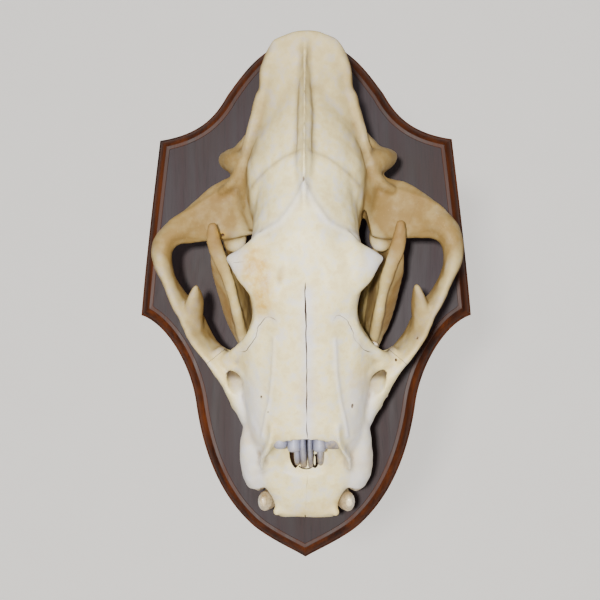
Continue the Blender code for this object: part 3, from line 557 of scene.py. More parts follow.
def skull_bodies():
    """Overlapping bodies that make up the skull without the lower jaws and the teeth."""
    crest = [(0, y, (low + top) / 2, half, (top - low) / 2) for y, half, low, top in CREST_STATIONS]
    foot = [(0, y, z - 2, CREST_FOOT * (depth - 2) / 13, depth - 2) for _, y, z, _, depth in crest]
    one_side = (
        tube(ARCH_STATIONS, rings=60),
        # brow horn over the eye and cheek horn below it
        tube(((24, 198, 165, 25, 12), (36, 198.5, 165, 24, 11), (43, 199.5, 164, 18, 9.5),
              (49, 201, 162.5, 11.5, 7.5), (54.5, 202.5, 160.5, 5.5, 5), (59, 203.7, 158.5, 1.8, 1.8))),
        tube(((86, 151, 105, 5, 9, -18), (89, 161, 112, 7, 11, -18), (88, 171, 119, 5.8, 10, -18),
              (86.3, 179, 126.5, 3.4, 6.5, -18), (85, 184.5, 131, 1.5, 2.5, -18))),
        # swelling over the root of the fang
        tube(((38, 27, 80, 9.5, 9), (41, 38, 86, 11, 12), (42.5, 54, 96, 10.5, 12), (42, 72, 106, 8, 10),
              (39, 88, 114, 5, 6))),
        # rim of the nose opening
        tube(((34.4, 41, 98, 1.8, 4), (34.2, 46, 103, 2.1, 7), (32.6, 51.5, 109, 2.3, 8),
              (28.5, 59, 119, 2.4, 9), (25.5, 68, 129, 2.6, 9), (24.5, 80, 135, 3, 8))),
        # bone over the sockets of the front teeth
        tube(((4, 4.4, 80, 3.6, 5.5), (13, 4.6, 80.5, 3.8, 6), (22, 6.2, 82, 3.4, 5)), rings=16),
        ball((23.6, 4.8, 85), (3.4, 3.6, 4.5)),
        # front rim of the eye socket
        tube(((62, 126.5, 112, 6, 9, -20), (56, 130, 121, 5, 7, -30), (47, 137.5, 134, 4.5, 6, -35),
              (39, 147.5, 149, 4, 5, -35), (35, 157, 159, 3, 4, -30))),
        # saddle between the cheek and the snout, bone over the cheek canal and the swelling in front of it
        tube(((44, 128, 112, 8, 14), (54, 127, 106, 7.5, 15), (64, 127.5, 103, 7.5, 16),
              (72, 134, 103, 6, 15))),
        tube(((44, 118, 124, 7, 8), (52, 122, 117, 6.5, 7), (60, 124, 113.5, 6, 7), (66, 126, 110, 5, 7))),
        ball((54.5, 95, 97), (6.5, 11, 10)),
        # shelf in front of the jaw joint and the fillet where the arch meets the braincase
        ball((59, 225, 92), (10.5, 13, 6.5)),
        tube(((36, 228, 116, 6, 16, 42), (40, 244, 117, 8, 20, 42), (42, 262, 118, 8.5, 21, 42),
              (42, 282, 118, 8.5, 21, 42), (38, 300, 117, 7, 17, 42)), along=FORWARD),
        # ridge from the back of the arch up the side of the braincase
        tube(((68, 259, 108, 4, 4), (60, 264, 114, 4, 5), (54, 272, 118, 4, 6), (49.5, 284, 122, 4, 7),
              (44.5, 300, 124, 4, 8), (39.5, 317, 126, 4, 8), (35, 334, 131, 4, 8))),
        # side wall of the braincase and the bone behind the ear
        ball((26, 266, 118), (22, 52, 32), (0, 0, -3)),
        tube(((42, 279, 115, 12, 17), (50, 282, 108, 12, 16), (58, 285, 98, 10, 13),
              (63.5, 287, 88, 6.5, 9), (64, 288, 80, 3, 4))),
        tube(((10, 371, 146, 4, 6), (20, 367, 143, 4, 7), (28, 358, 140, 4, 8), (32, 347, 135, 4, 8),
              (33, 333, 129, 4, 8), (35, 320, 122, 4, 8), (41, 306, 113, 5, 9), (53, 293, 99, 6, 10))),
        # ear capsule, hinge lip, spur by the joint and the knuckle of the neck
        ball((29, 298, 84), (15, 22, 14), (0, 0, 14)),
        tube(((48, 264, 93, 6, 8), (60, 263, 86, 4.5, 9), (75, 260, 88, 3, 7))),
        tube(((38, 312, 104, 6, 10), (38, 317, 90, 4.5, 7), (37, 320, 77, 2.5, 3))),
        ball((17, 334, 96), (12, 12, 14), (0, 0, -20)),
        tube(((9, 290, 98, 14, 10), (12, 318, 98, 13, 11), (14, 334, 97, 11, 11))),
        # wing beside the throat passage
        tube(((21, 150, 88, 4, 7), (20, 176, 88, 3.2, 10), (19, 200, 86, 3, 10), (20, 214, 80, 2.5, 6))),
    )
    middle = (loft(SKULL_STATIONS), loft(PALATE_STATIONS), tube(crest, along=FORWARD),
              tube(foot, along=FORWARD))
    return both(one_side) + list(middle)


def skull_hollows():
    """Bodies taken out of the skull: nose opening, cheek canals, throat passage and neck opening."""
    one_side = (
        # canal below the eye socket
        tube(((54.5, 102, 118, 5, 4.6), (55.4, 109, 115, 6.2, 6.2), (56, 115, 112, 6.2, 6.6),
              (57.5, 124, 107, 5, 5.6), (59, 142, 102.5, 4.2, 4.6))),
    )
    middle = (
        # gaps between the braincase and the shelves of the jaw joints
        tube(((45.5, 208, 104, 5, 16), (45.5, 224, 106, 5, 18), (45, 236, 110, 3, 18),
              (44, 247, 114, 1.2, 10)), along=FORWARD),
        tube(((-45.5, 208, 104, 5, 16), (-45.5, 218, 106, 5, 18), (-44, 226, 112, 1.2, 12)), along=FORWARD),
        tube(((0, 20, 112, 14, 8), (0, 30, 111.5, 24, 11), (0, 38, 112.5, 29, 13.6),
              (0, 44, 113.5, 31.5, 16), (0, 51, 116, 30, 18.5), (0, 58, 117.5, 26, 20),
              (0, 65, 118, 23.5, 20), (0, 76, 118, 22.5, 19.5), (0, 96, 118, 18, 16)), along=FORWARD),
        tube(((0, 163, 87, 13, 8), (0, 190, 84, 15, 12), (0, 222, 80, 16, 12)), along=FORWARD),
        tube(((0, 316, 106, 10, 8), (0, 345, 103, 14, 12), (0, 360, 100, 16, 14)), along=FORWARD),
        ball((0, 92, 68), (34, 70, 15)),
    )
    return both(one_side) + list(middle)


def jaw_bodies():
    """Overlapping bodies of one lower jaw without its teeth."""
    blade = []
    for y, x_foot, z_foot, x_edge, z_edge, half in BLADE_STATIONS:
        rise = z_edge - z_foot
        lean = -math.degrees(math.atan2(x_edge - x_foot, rise))
        size = math.hypot(x_edge - x_foot, rise) / 2
        blade.append(((x_foot + x_edge) / 2, y, (z_foot + z_edge) / 2, half, size, lean))
    return (
        tube(JAW_STATIONS, rings=60),
        tube(blade, rings=60, along=FORWARD),
        # thick front edge of the blade, its hooked tip and the flange beside it
        tube(((49, 132, 56, 4, 5), (52.5, 142, 71, 4.5, 5), (55.5, 157, 85, 4.5, 5),
              (58.5, 173, 97, 4.5, 4.5), (62, 188, 107.5, 4.8, 4.5), (66, 201, 115.5, 5.5, 4.5),
              (70.5, 213, 120.5, 6.4, 4.5), (72.3, 222, 125, 5.6, 4), (73, 229, 127.5, 4.6, 3.4),
              (73, 234, 128.5, 3, 2.4))),
        tube(((54, 136, 58, 2.6, 6, 18), (56, 142, 65, 2.8, 8, 20), (61.5, 158, 76, 2.8, 11.6, 28),
              (65, 174, 86, 2.8, 12.2, 33), (68.2, 188, 96.5, 2.8, 11, 38),
              (71.2, 201, 107.5, 2.8, 8.2, 47), (72.5, 211, 114, 3, 5, 50)), along=FORWARD),
        # socket of the fang, chin and neck of the joint
        tube(((25, 20, 47, 8, 9), (21, 30, 39, 10, 13), (18, 44, 29, 9, 14))),
        tube(((7, 16, 30, 7, 16), (9, 34, 20, 8, 15), (11, 52, 15, 5, 9))),
        tube(((62, 228, 58, 5, 12), (65, 239, 68, 5.5, 9), (67, 249, 77, 8, 6))),
        roller(CONDYLE_RADIUS - 1.4, CONDYLE_HALF_LENGTH - 2),
        # spur at the corner of the jaw
        tube(((63, 240, 40, 5, 9), (66, 253, 37, 4.5, 7), (67, 262, 36, 3, 4))),
    )


def hang(thing):
    """Warp a table shape slightly and stand it up against the board."""
    for vert in thing.data.vertices:
        x, y, z = vert.co / MM
        side = min(max((abs(x) - 60) / 40, 0.0), 1.0)
        back = min(max((y - 200) / 45, 0.0), 1.0)
        y += math.copysign(ARCH_SWAY, x) * side * side * (3 - 2 * side) * back * back * (3 - 2 * back)
        x -= NOSE_LEAN * max(0.0, 1 - y / 150)
        vert.co = Vector((SKULL_X + x, -(BOARD_THICKNESS + z), PROSTHION_Z + y)) * MM


def make_noise(seed):
    """Smooth repeatable noise from a few sine waves: a function of points in millimetres."""
    random = np.random.default_rng(seed)
    waves = random.normal(size=(28, 3))
    waves /= np.linalg.norm(waves, axis=1)[:, None]
    waves *= random.uniform(0.6, 2.2, size=(28, 1))
    phase = random.uniform(0, 2 * math.pi, 28)

    def noise(points, size):
        return np.sin(points @ waves.T * (2 * math.pi / size) + phase).sum(axis=1) / math.sqrt(28 / 2)

    return noise


NOISE = make_noise(7)


def ramp(value, low, high):
    """0 below low, 1 above high, eased between."""
    t = np.clip((value - low) / (high - low), 0.0, 1.0)
    return t * t * (3 - 2 * t)


def fall(value, low, high):
    """1 below low, 0 above high, eased between."""
    return 1.0 - ramp(value, low, high)


def span(value, start, full, last, end):
    """1 from full to last, eased to 0 at start and at end."""
    return ramp(value, start, full) * fall(value, last, end)


def hill(value, width):
    """Bell curve around 0."""
    return np.exp(-((value / width) ** 2))


def distance_to(points, path):
    """Distance in plan from points to a broken line of (x, y)."""
    best = np.full(len(points), 1e9)
    path = np.array(path, dtype=float)
    for a, b in zip(path[:-1], path[1:]):
        along = b - a
        t = np.clip(((points[:, :2] - a) @ along) / (along @ along), 0, 1)
        best = np.minimum(best, np.linalg.norm(points[:, :2] - (a + t[:, None] * along), axis=1))
    return best


def coordinates(thing):
    """Vertex places of an object still on the table, in millimetres."""
    flat = np.empty(len(thing.data.vertices) * 3)
    thing.data.vertices.foreach_get("co", flat)
    return flat.reshape(-1, 3) / MM


def normals(thing):
    """Vertex normals."""
    flat = np.empty(len(thing.data.vertices) * 3)
    thing.data.vertices.foreach_get("normal", flat)
    return flat.reshape(-1, 3)


def place(thing, points):
    """Write vertex places back."""
    thing.data.vertices.foreach_set("co", (points * MM).ravel())
    thing.data.update()


def paint(thing, **masks):
    """Store masks from 0 to 1 as point attributes."""
    for name, values in masks.items():
        layer = thing.data.attributes.new(name, "FLOAT", "POINT")
        layer.data.foreach_set("value", np.clip(values, 0, 1).astype(np.float32))


# Lines on the skull in plan: where the temple muscles end, and the arc behind it on each side
TEMPLE_LINE = ((1.5, 256), (3.5, 250), (8.5, 241.5), (18, 229), (30, 223), (42, 219), (52, 212))
BACK_ARC = ((3, 282.5), (9, 281), (16, 278.5), (25, 272.5), (34, 266), (40, 260))
BROW_SEAM = (
    (21, 155.5), (25.5, 159.5), (31.5, 156.5), (35.5, 149.5), (38.5, 141), (45.5, 134.5), (51, 132.5),
)
NASAL_EDGE = ((23, 142), (24.5, 117), (28.5, 91), (33, 68))

# Low swells and dips of the bone: half width in mm, height in mm, on both sides or one, path of (x, y)
FORMS = (
    (2.0, 1.0, True, TEMPLE_LINE),
    (1.4, 0.7, True, BACK_ARC),
    (7.0, -1.0, True, ((8, 288), (18, 284), (30, 276), (38, 269))),
    (7.0, -2.0, True, ((14, 334), (24, 322), (34, 310), (42, 300), (50, 283))),
    # shallow grooves in the floor of the nose opening
    (6.0, -1.4, True, ((15, 46), (17, 36), (15, 24))),
    # hollows along the sides of the snout and the dip between the brows
    (6.5, -1.7, True, ((28, 157), (31, 134), (30, 112), (31, 96))),
    (12.0, -2.2, False, ((1, 206), (1, 178))),
    # edges of the nasal bones and the dip where they meet
    (1.2, 0.9, True, NASAL_EDGE),
    (4.5, -0.9, False, ((1.2, 176), (1.5, 126), (1.8, 66))),
    # swelling of the brow beside the snout
    (7.0, 0.9, True, ((14, 196), (19, 180), (22, 168))),
    # hollow along the root of the cheek arch and its raised back edge
    (8.0, -2.0, True, ((98, 221), (88, 230), (76, 237), (64, 243))),
    (2.2, 1.2, True, ((108, 240), (98, 246), (84, 253), (72, 259))),
)

# Open seams of the bone: half width in mm, on both sides or one, path of (x, y)
SEAMS = (
    (0.6, False, ((1.0, 184), (0.8, 174), (1.2, 160), (1.4, 140))),
    (0.42, False, ((1.4, 150), (1.7, 120), (1.6, 92), (1.9, 66))),
    (0.26, True, BROW_SEAM),
    (0.16, False, ((0.6, 39), (1.0, 30), (0.3, 18), (-0.5, 6))),
    (0.14, False, ((-56, 201), (-51, 199.4), (-44, 200))),
    (0.14, False, ((-51, 199.4), (-49, 203.5))),
)

# Small pits: x, y, half sizes
PITS = (
    (-33.5, 98.5, 0.9, 1.2),
    (36.3, 91.5, 1.1, 2.0),
    (85.9, 143.6, 1.2, 1.2),
    (69.8, 126.6, 1.0, 1.4),
    (-0.7, 260.7, 1.3, 2.2),
    (-28, 87, 0.6, 0.6),
    (-67, 225.5, 1.7, 1.7),
    (-0.7, 0.2, 1.0, 2.2),
)

# Openings in the floor of the nose: half width, low and high end, path of (x, y)
NOSE_FLOOR_CUTS = (
    (1.9, 84, 112, ((-11.6, 54), (-11, 49), (-9.4, 44.6), (-7.0, 42.0))),
    (1.1, 84, 112, ((5.2, 52), (5.0, 46.5), (5.8, 42.8), (7.4, 42), (8.6, 45), (8.4, 50), (7.2, 52))),
    (0.5, 90, 104, ((-5.6, 42.6), (-3.2, 41), (0.4, 40.4), (3.6, 41), (5.6, 42.6))),
    (0.5, 70, 94, ((-0.7, -2.5), (-0.7, 2.4))),
)


# Marks in the bone's colours, among them painted shade and painted highlight: mask, strength, half width in
# mm, on both sides or one, only on top or all round, path of (x, y)
MARKS = (
    ("white", 0.5, 2.5, True, True, BROW_SEAM),
    ("tan", 0.3, 2.2, True, False, BACK_ARC),
    ("tan", 0.3, 12, True, False, ((104, 214), (90, 232), (74, 240), (56, 262), (52, 285))),
    ("tan", 0.3, 9, True, False, ((106, 216), (98, 226))),
    ("tan", -0.25, 4, True, False, ((110, 228), (104, 242), (84, 254))),
    ("stain", 1.1, 9, False, False, ((-36, 204), (-34, 190), (-31, 168))),
    ("stain", 0.6, 3.5, False, False, ((-30, 184), (-31, 176))),
    ("stain", 0.5, 2.5, False, False, ((-17, 190), (-18, 186))),
    ("stain", 0.5, 8, False, False, ((-36, 196), (-46, 188))),
    ("grime", 0.55, 10, False, True, ((90, 250), (97, 236), (98, 226))),
    ("grime", 0.4, 8, False, True, ((-66, 254), (-76, 250), (-104, 224))),
    ("grime", 0.5, 2.5, False, False, ((-17, 194), (-18, 184))),
    ("grime", 0.3, 2.2, False, False, ((-37, 201), (-38, 194))),
)

# Middle and half sizes of the nose passage, then middle (x, z) and radius of the canal below the eye
NOSE_AXIS_Z = 118.0
NOSE_HALF_WIDTH = 24.0
NOSE_HALF_HEIGHT = 20.5
CANAL = (56.0, 110.0)
CANAL_RADIUS = 9.0


def curve(path, step):
    """Points every few millimetres along a smooth line through (x, y)."""
    rows = np.array([(*point, 0.0) for point in path])
    length = np.linalg.norm(np.diff(rows, axis=0), axis=1).sum()
    return along_path(rows, max(4, int(length / step)))[:, :2]


def surface_tree(thing):
    """Search tree of a table object's surface."""
    mesh = bmesh.new()
    mesh.from_mesh(thing.data)
    tree = BVHTree.FromBMesh(mesh)
    mesh.free()
    return tree


def seam_cutter(height, path, half, wobble):
    """Thin tube that follows the surface along a wavering line."""
    points = curve(path, 1.3)
    flat = np.column_stack([points, np.zeros(len(points))])
    points[:, 0] += wobble * NOISE(flat, 17.0) + 0.4 * wobble * NOISE(flat, 5.0)
    points[:, 1] += wobble * NOISE(flat + 50.0, 14.0)
    stations = []
    for number, (x, y) in enumerate(points):
        z = height(x, y)
        if z is None:
            continue
        edge = min(number, len(points) - 1 - number)
        size = half * (1 + 0.3 * NOISE(np.array([[x, y, 9.0]]), 23.0)[0]) * min(1.0, 0.3 + 0.25 * edge)
        stations.append((x, y, z - 1.4 * size, max(size, 0.08), 3.2 * size))
    return tube(stations, rings=len(stations) * 2, around=8)


def depth_below(tree, points):
    """How far points lie below a surface, in millimetres."""
    depths = np.zeros(len(points))
    for number, point in enumerate(points):
        place_on, direction, _, _ = tree.find_nearest(Vector(point) * MM)
        depths[number] = (place_on / MM - Vector(point)).dot(direction)
    return depths


def sculpt(thing):
    """Work the low forms into the bone and make its surface slightly uneven."""
    points = coordinates(thing)
    facing = normals(thing)
    folded = np.column_stack([np.abs(points[:, 0]), points[:, 1:]])
    upward = ramp(facing[:, 2], 0.1, 0.55)
    lift = np.zeros(len(points))
    for width, height, twin, path in FORMS:
        lift += height * hill(distance_to(folded if twin else points, path), width) * upward
    lift += 0.22 * NOISE(points, 46.0) + 0.10 * NOISE(points, 15.0)
    place(thing, points + facing * lift[:, None])


def hollowness(thing, rounds):
    """How far each vertex lies below its wider surroundings, in millimetres."""
    points = coordinates(thing)
    ends = np.empty(len(thing.data.edges) * 2, dtype=np.int64)
    thing.data.edges.foreach_get("vertices", ends)
    first, second = ends[::2], ends[1::2]
    count = np.bincount(ends, minlength=len(points)).astype(float)
    soft = points.copy()
    for _ in range(rounds):
        total = np.zeros_like(soft)
        for axis in range(3):
            total[:, axis] = np.bincount(first, soft[second, axis], len(points))
            total[:, axis] += np.bincount(second, soft[first, axis], len(points))
        soft = total / np.maximum(count, 1)[:, None]
    return ((soft - points) * normals(thing)).sum(axis=1)


def recess_shade(uncut, points, facing):
    """Mask of painted shade in the recesses: seams, pits, the nose passage and the upper end of the cheek
    canals.
    """
    x, y, z = points.T
    side = np.abs(x)
    folded = np.column_stack([side, y, z])
    deep = np.zeros(len(points))
    paths = [path for _, _, path in SEAMS] + [path for _, _, _, path in NOSE_FLOOR_CUTS]
    gaps = [distance_to(places, path) for path in paths for places in (folded, points)]
    gaps += [np.hypot(x - pit_x, y - pit_y) for pit_x, pit_y, _, _ in PITS]
    chosen = np.flatnonzero((np.min(gaps, axis=0) < 3.0) & (z > 60))
    deep[chosen] = ramp(depth_below(uncut, points[chosen]), 0.15, 1.5)
    inward = x * facing[:, 0] + (z - NOSE_AXIS_Z) * facing[:, 2] < 0
    inside = (x / NOSE_HALF_WIDTH) ** 2 + ((z - NOSE_AXIS_Z) / NOSE_HALF_HEIGHT) ** 2 < 1.2
    deep = np.maximum(deep, inward * inside * span(y, 58, 64, 110, 130))
    canal_x, canal_z = CANAL
    within = (side - canal_x) ** 2 + (z - canal_z) ** 2 < CANAL_RADIUS ** 2
    above = (side - canal_x) * np.sign(x) * facing[:, 0] + (z - canal_z - 2) * facing[:, 2] < 0
    return np.maximum(deep, 0.8 * within * above * span(y, 109, 115, 138, 146))


def tint(thing, uncut=None):
    """Masks for the bone's colours: white with painted highlight, tan with painted shade, ochre stain,
    grime and painted shade in the hollows, painted shade in the clefts.
    """
    points = coordinates(thing)
    facing = normals(thing)
    x, y, z = points.T
    side = np.abs(x)
    folded = np.column_stack([side, y, z])
    upward = ramp(facing[:, 2], 0.0, 0.6)
    snout = fall(y, 120, 165)
    # pale bone and painted highlight: the middle of the snout, the cheeks, the tops of the brow horns and
    # the raised edges of flat bones
    white = 0.8 * hill(x - 2.5, 5.0) * span(y, 60, 70, 176, 186)
    white += 0.75 * span(side, 26, 38, 50, 60) * fall(y, 96, 125)
    white += 0.8 * ramp(side, 38, 50) * span(y, 186, 196, 206, 212) * ramp(z, 140, 150)
    white += 0.55 * hill(distance_to(folded, TEMPLE_LINE), 4.2) * ramp(y, 205, 215)
    white += (0.3 + 0.25 * (x > 0)) * hill(distance_to(folded, NASAL_EDGE), 2.4)
    # tan of the arches, their roots and the back of the braincase, with painted shade on the sides of the
    # braincase, on faces turned away from the front and on all that is low down
    tan = 0.8 * ramp(side, 54, 70) * ramp(y, 112, 150) - 0.16 * ramp(side, 88, 104)
    tan += 0.2 * span(side, 44, 60, 76, 90) * ramp(y, 222, 240) + 0.26 * ramp(y, 270, 290)
    tan += 0.75 * fall(z, 118, 140) * ramp(y, 205, 235) * (1 - 0.75 * ramp(y, 264, 284))
    tan += 0.25 * ramp(y, 280, 340) + 0.25 * ramp(side, 22, 40) * ramp(y, 225, 260)
    tan += 0.45 * fall(z, 86, 100) * (1 - snout * 0.6) + 0.6 * (1 - upward) * ramp(y, 130, 155)
    stain = 0.8 * hill(np.hypot(x + 67, y - 226), 3)
    stain += 0.3 * ramp(0.5 + 0.5 * NOISE(points, 60.0), 0.6, 1.2) * snout
    # painted shade in the hollows: darker the deeper a point lies below its surroundings, and in the trough
    # at the root of each arch
    grime = ramp(hollowness(thing, 14), 0.12, 1.3)
    grime += 0.35 * span(side, 44, 60, 80, 96) * ramp(y, 218, 236) * upward
    masks = {"white": white, "tan": tan, "stain": stain, "grime": grime}
    for mask, strength, width, twin, on_top, path in MARKS:
        mark = strength * hill(distance_to(folded if twin else points, path), width)
        masks[mask] += mark * upward if on_top else mark
    deep = recess_shade(uncut, points, facing) if uncut else np.zeros(len(points))
    paint(thing, deep=deep, **masks)


def shader_nodes(name):
    """A new material: its node tree, its shader and a function that adds a linked node."""
    surface = bpy.data.materials.new(name)
    surface.use_nodes = True
    tree = surface.node_tree

    def add(kind, settings=None, **inputs):
        node = tree.nodes.new(kind)
        for key, value in (settings or {}).items():
            setattr(node, key, value)
        for key, value in inputs.items():
            socket = node.inputs[int(key[1:]) if key[1:].isdigit() else key]
            if isinstance(value, bpy.types.NodeSocket):
                tree.links.new(value, socket)
            else:
                socket.default_value = value
        return node

    return surface, tree.nodes["Principled BSDF"], add, tree.links.new


def srgb(red, green, blue):
    """Linear colour from 0 to 255 screen values."""
    values = np.array([red, green, blue]) / 255
    linear = np.where(values < 0.04045, values / 12.92, ((values + 0.055) / 1.055) ** 2.4)
    return (*linear.tolist(), 1.0)


def mix(add, factor, first, second):
    """Mix two colours, giving the result socket."""
    return add("ShaderNodeMix", {"data_type": "RGBA"}, n0=factor, n6=first, n7=second).outputs[2]


def math_node(add, operation, first, second, third=0.0, clamp=False):
    """One sum of values, giving the result socket."""
    settings = {"operation": operation, "use_clamp": clamp}
    return add("ShaderNodeMath", settings, n0=first, n1=second, n2=third).outputs[0]


def spread(add, value, low, high, to_low=0.0, to_high=1.0):
    """Stretch a value to another range."""
    node = add("ShaderNodeMapRange", {"clamp": True}, n0=value, n1=low, n2=high, n3=to_low, n4=to_high)
    return node.outputs[0]


def set_inputs(shader, **values):
    """Set plain values on a shader, with _ for the spaces in the names of its sockets."""
    for name, value in values.items():
        shader.inputs[name.replace("_", " ")].default_value = value


def darker(colour, share):
    """Keep this share of a colour's light."""
    return (*(part * share for part in colour[:3]), 1.0)


def bone_material(name, cream, tan, white, roughness):
    """Dry cleaned bone: mottled, with pores, fine cracks, stains, grime, painted shade and painted
    highlight from the vertex masks.
    """
    surface, shader, add, link = shader_nodes(name)
    where = add("ShaderNodeTexCoord").outputs["Object"]
    masks = {mask: add("ShaderNodeAttribute", {"attribute_name": mask}).outputs["Fac"]
             for mask in ("white", "tan", "stain", "grime", "deep")}

    def noise(scale, detail, rough=0.55):
        node = add("ShaderNodeTexNoise", Vector=where, Scale=scale, Detail=detail, Roughness=rough)
        return node.outputs["Fac"]

    def broken(mask, by, *limits):
        """A mask made uneven by a noise."""
        return math_node(add, "MULTIPLY", masks[mask], spread(add, by, *limits), clamp=True)

    cloud = noise(90.0, 4.0)
    grain = noise(420.0, 3.0)
    speck = noise(1500.0, 2.0)
    mottle = noise(120.0, 5.0, 0.62)
    layers = (
        (spread(add, mottle, 0.5, 0.64, 0.0, 0.5), white),
        (spread(add, mottle, 0.5, 0.37, 0.0, 0.45), srgb(214, 190, 128)),
        # tan, with painted shade on faces turned away and low down
        (broken("tan", cloud, 0.3, 0.65, 0.86, 1.04), tan),
        # white, with painted highlight on the middle of the snout, the tops of the brow horns and the
        # ridges
        (broken("white", cloud, 0.3, 0.7, 0.6, 1.0), white),
        (broken("stain", noise(160.0, 5.0, 0.7), 0.32, 0.62, 0.3, 0.9), srgb(200, 158, 62)),
        # grime and painted shade in the hollows
        (broken("grime", cloud, 0.35, 0.65, 0.35, 0.8), srgb(118, 90, 44)),
        (spread(add, grain, 0.62, 0.74, 0.0, 0.22), srgb(190, 160, 112)),
        (spread(add, speck, 0.3, 0.7, 0.0, 0.09), srgb(150, 120, 84)),
        # painted shade, near black, in the seams, pits and deep recesses
        (math_node(add, "MULTIPLY", masks["deep"], 0.95), srgb(56, 32, 20)),
    )
    colour = mix(add, spread(add, noise(26.0, 3.0), 0.35, 0.7), cream, darker(cream, 0.93))
    for amount, shade in layers:
        colour = mix(add, amount, colour, shade)
    link(colour, shader.inputs["Base Color"])
    uneven = spread(add, cloud, 0.3, 0.7, roughness - 0.06, roughness + 0.06)
    link(math_node(add, "MULTIPLY_ADD", masks["tan"], 0.22, uneven), shader.inputs["Roughness"])
    set_inputs(shader, Specular_IOR_Level=0.38)
    pores = add("ShaderNodeTexVoronoi", Vector=where, Scale=620.0).outputs["Distance"]
    relief = math_node(add, "MULTIPLY", grain, 0.5)
    relief = math_node(add, "MULTIPLY_ADD", speck, 0.25, relief)
    relief = math_node(add, "MULTIPLY_ADD", spread(add, pores, 0.0, 0.25), 0.35, relief)
    bump = add("ShaderNodeBump", Strength=0.32, Distance=0.0006, Height=relief)
    link(bump.outputs[0], shader.inputs["Normal"])
    return surface


def enamel_material():
    """Ivory of the teeth with fine lengthwise cracks."""
    surface, shader, add, link = shader_nodes("enamel")
    where = add("ShaderNodeTexCoord").outputs["Object"]
    cloud = add("ShaderNodeTexNoise", Vector=where, Scale=110.0, Detail=3.0).outputs["Fac"]
    streak = add("ShaderNodeMapping", Vector=where, Scale=(1.0, 0.16, 1.0)).outputs[0]
    cells = add("ShaderNodeTexVoronoi", {"feature": "DISTANCE_TO_EDGE"}, Vector=streak, Scale=260.0)
    cracks = cells.outputs["Distance"]
    colour = mix(add, spread(add, cloud, 0.35, 0.7), srgb(216, 200, 166), srgb(178, 150, 106))
    colour = mix(add, spread(add, cracks, 0.0, 0.03, 0.55, 0.0), colour, srgb(110, 82, 56))
    link(colour, shader.inputs["Base Color"])
    link(spread(add, cloud, 0.3, 0.7, 0.22, 0.34), shader.inputs["Roughness"])
    set_inputs(shader, Coat_Weight=0.3, Coat_Roughness=0.15)
    bump = add("ShaderNodeBump", Strength=0.4, Distance=0.0004, Height=spread(add, cracks, 0.0, 0.05))
    link(bump.outputs[0], shader.inputs["Normal"])
    return surface


def wood_material(name, light, dark, purple, roughness, specular):
    """Varnished walnut with upright grain."""
    surface, shader, add, link = shader_nodes(name)
    where = add("ShaderNodeTexCoord").outputs["Object"]
    warp = add("ShaderNodeTexNoise", Vector=where, Scale=3.0, Detail=2.0).outputs["Fac"]
    shift = {"n0": warp, "n1": (0.05, 0.05, 0.0), "n2": where}
    bent = add("ShaderNodeVectorMath", {"operation": "MULTIPLY_ADD"}, **shift).outputs[0]
    along = add("ShaderNodeMapping", Vector=bent, Scale=(1.0, 1.0, 0.045)).outputs[0]
    bands = add("ShaderNodeTexNoise", Vector=along, Scale=85.0, Detail=5.0, Roughness=0.65).outputs["Fac"]
    fibres = add("ShaderNodeTexNoise", Vector=along, Scale=700.0, Detail=3.0).outputs["Fac"]
    cloud = add("ShaderNodeTexNoise", Vector=where, Scale=14.0, Detail=3.0).outputs["Fac"]
    colour = mix(add, spread(add, bands, 0.33, 0.66), dark, light)
    colour = mix(add, spread(add, cloud, 0.35, 0.7, 0.0, 0.5), colour, purple)
    colour = mix(add, spread(add, fibres, 0.5, 0.72, 0.0, 0.45), colour, darker(dark, 0.45))
    link(colour, shader.inputs["Base Color"])
    link(spread(add, bands, 0.3, 0.7, roughness - 0.05, roughness + 0.08), shader.inputs["Roughness"])
    set_inputs(shader, Specular_IOR_Level=specular)
    relief = math_node(add, "MULTIPLY_ADD", bands, 0.4, fibres)
    bump = add("ShaderNodeBump", Strength=0.12, Distance=0.0004, Height=relief)
    link(bump.outputs[0], shader.inputs["Normal"])
    return surface


def dress(thing, surface, node):
    """Hang a table object on the board, finish it and tie it to its body."""
    hang(thing)
    thing.data.materials.clear()
    thing.data.materials.append(surface)
    thing.data.shade_smooth()
    thing.data.set_sharp_from_angle(angle=math.radians(55))
    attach(thing, "root")
    if node:
        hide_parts(node)


def fine_skull():
    """Cranium and both arches in fine bone, still on the table."""
    skull = build("skull_bone", skull_bodies())
    merge_surface(skull, VOXEL, 7)
    cut(skull, skull_hollows())
    merge_surface(skull, VOXEL, 10)
    keep_largest(skull)
    sculpt(skull)
    uncut = surface_tree(skull)

    def height(x, y):
        hit = uncut.ray_cast(Vector((x, y, 250)) * MM, Vector((0, 0, -1)))
        return None if hit[0] is None else hit[0].z / MM

    cutters = []
    for half, twin, path in SEAMS:
        for line in (path, [(-x, y) for x, y in path]) if twin else (path,):
            cutters.append(seam_cutter(height, line, half, 0.35 if twin else 0.12))
    for x, y, wide, long in PITS:
        z = height(x, y)
        if z is not None:
            cutters.append(ball((x, y, z), (wide, long, 1.8), detail=2))
    for half, low, high, path in NOSE_FLOOR_CUTS:
        stations = [(x, y, (low + high) / 2, half, (high - low) / 2) for x, y in curve(path, 1.0)]
        cutters.append(tube(stations, rings=len(stations), around=12))
    cut(skull, cutters)
    keep_largest(skull)
    sockets = both([roller(CONDYLE_RADIUS + 0.5, CONDYLE_HALF_LENGTH)])
    joints = both([
        turned(block((-15, -SEAM / 2, -40), (30, SEAM / 2, 40)), (70, 130, 103), -40),
        turned(block((-0.03, -40, -30), (0.03, 40, 30)), (84, 240, 104), -24),
    ])
    cut(skull, sockets + joints)
    tint(skull, uncut)
    pieces = [skull]
    for name, side in (("arch_bone_left", 1), ("arch_bone_right", -1)):
        arch = put(name, skull.data.copy())
        arch.data.name = name
        keep_side(arch, side)
        pieces.append(arch)
    keep_largest(skull)
    return pieces


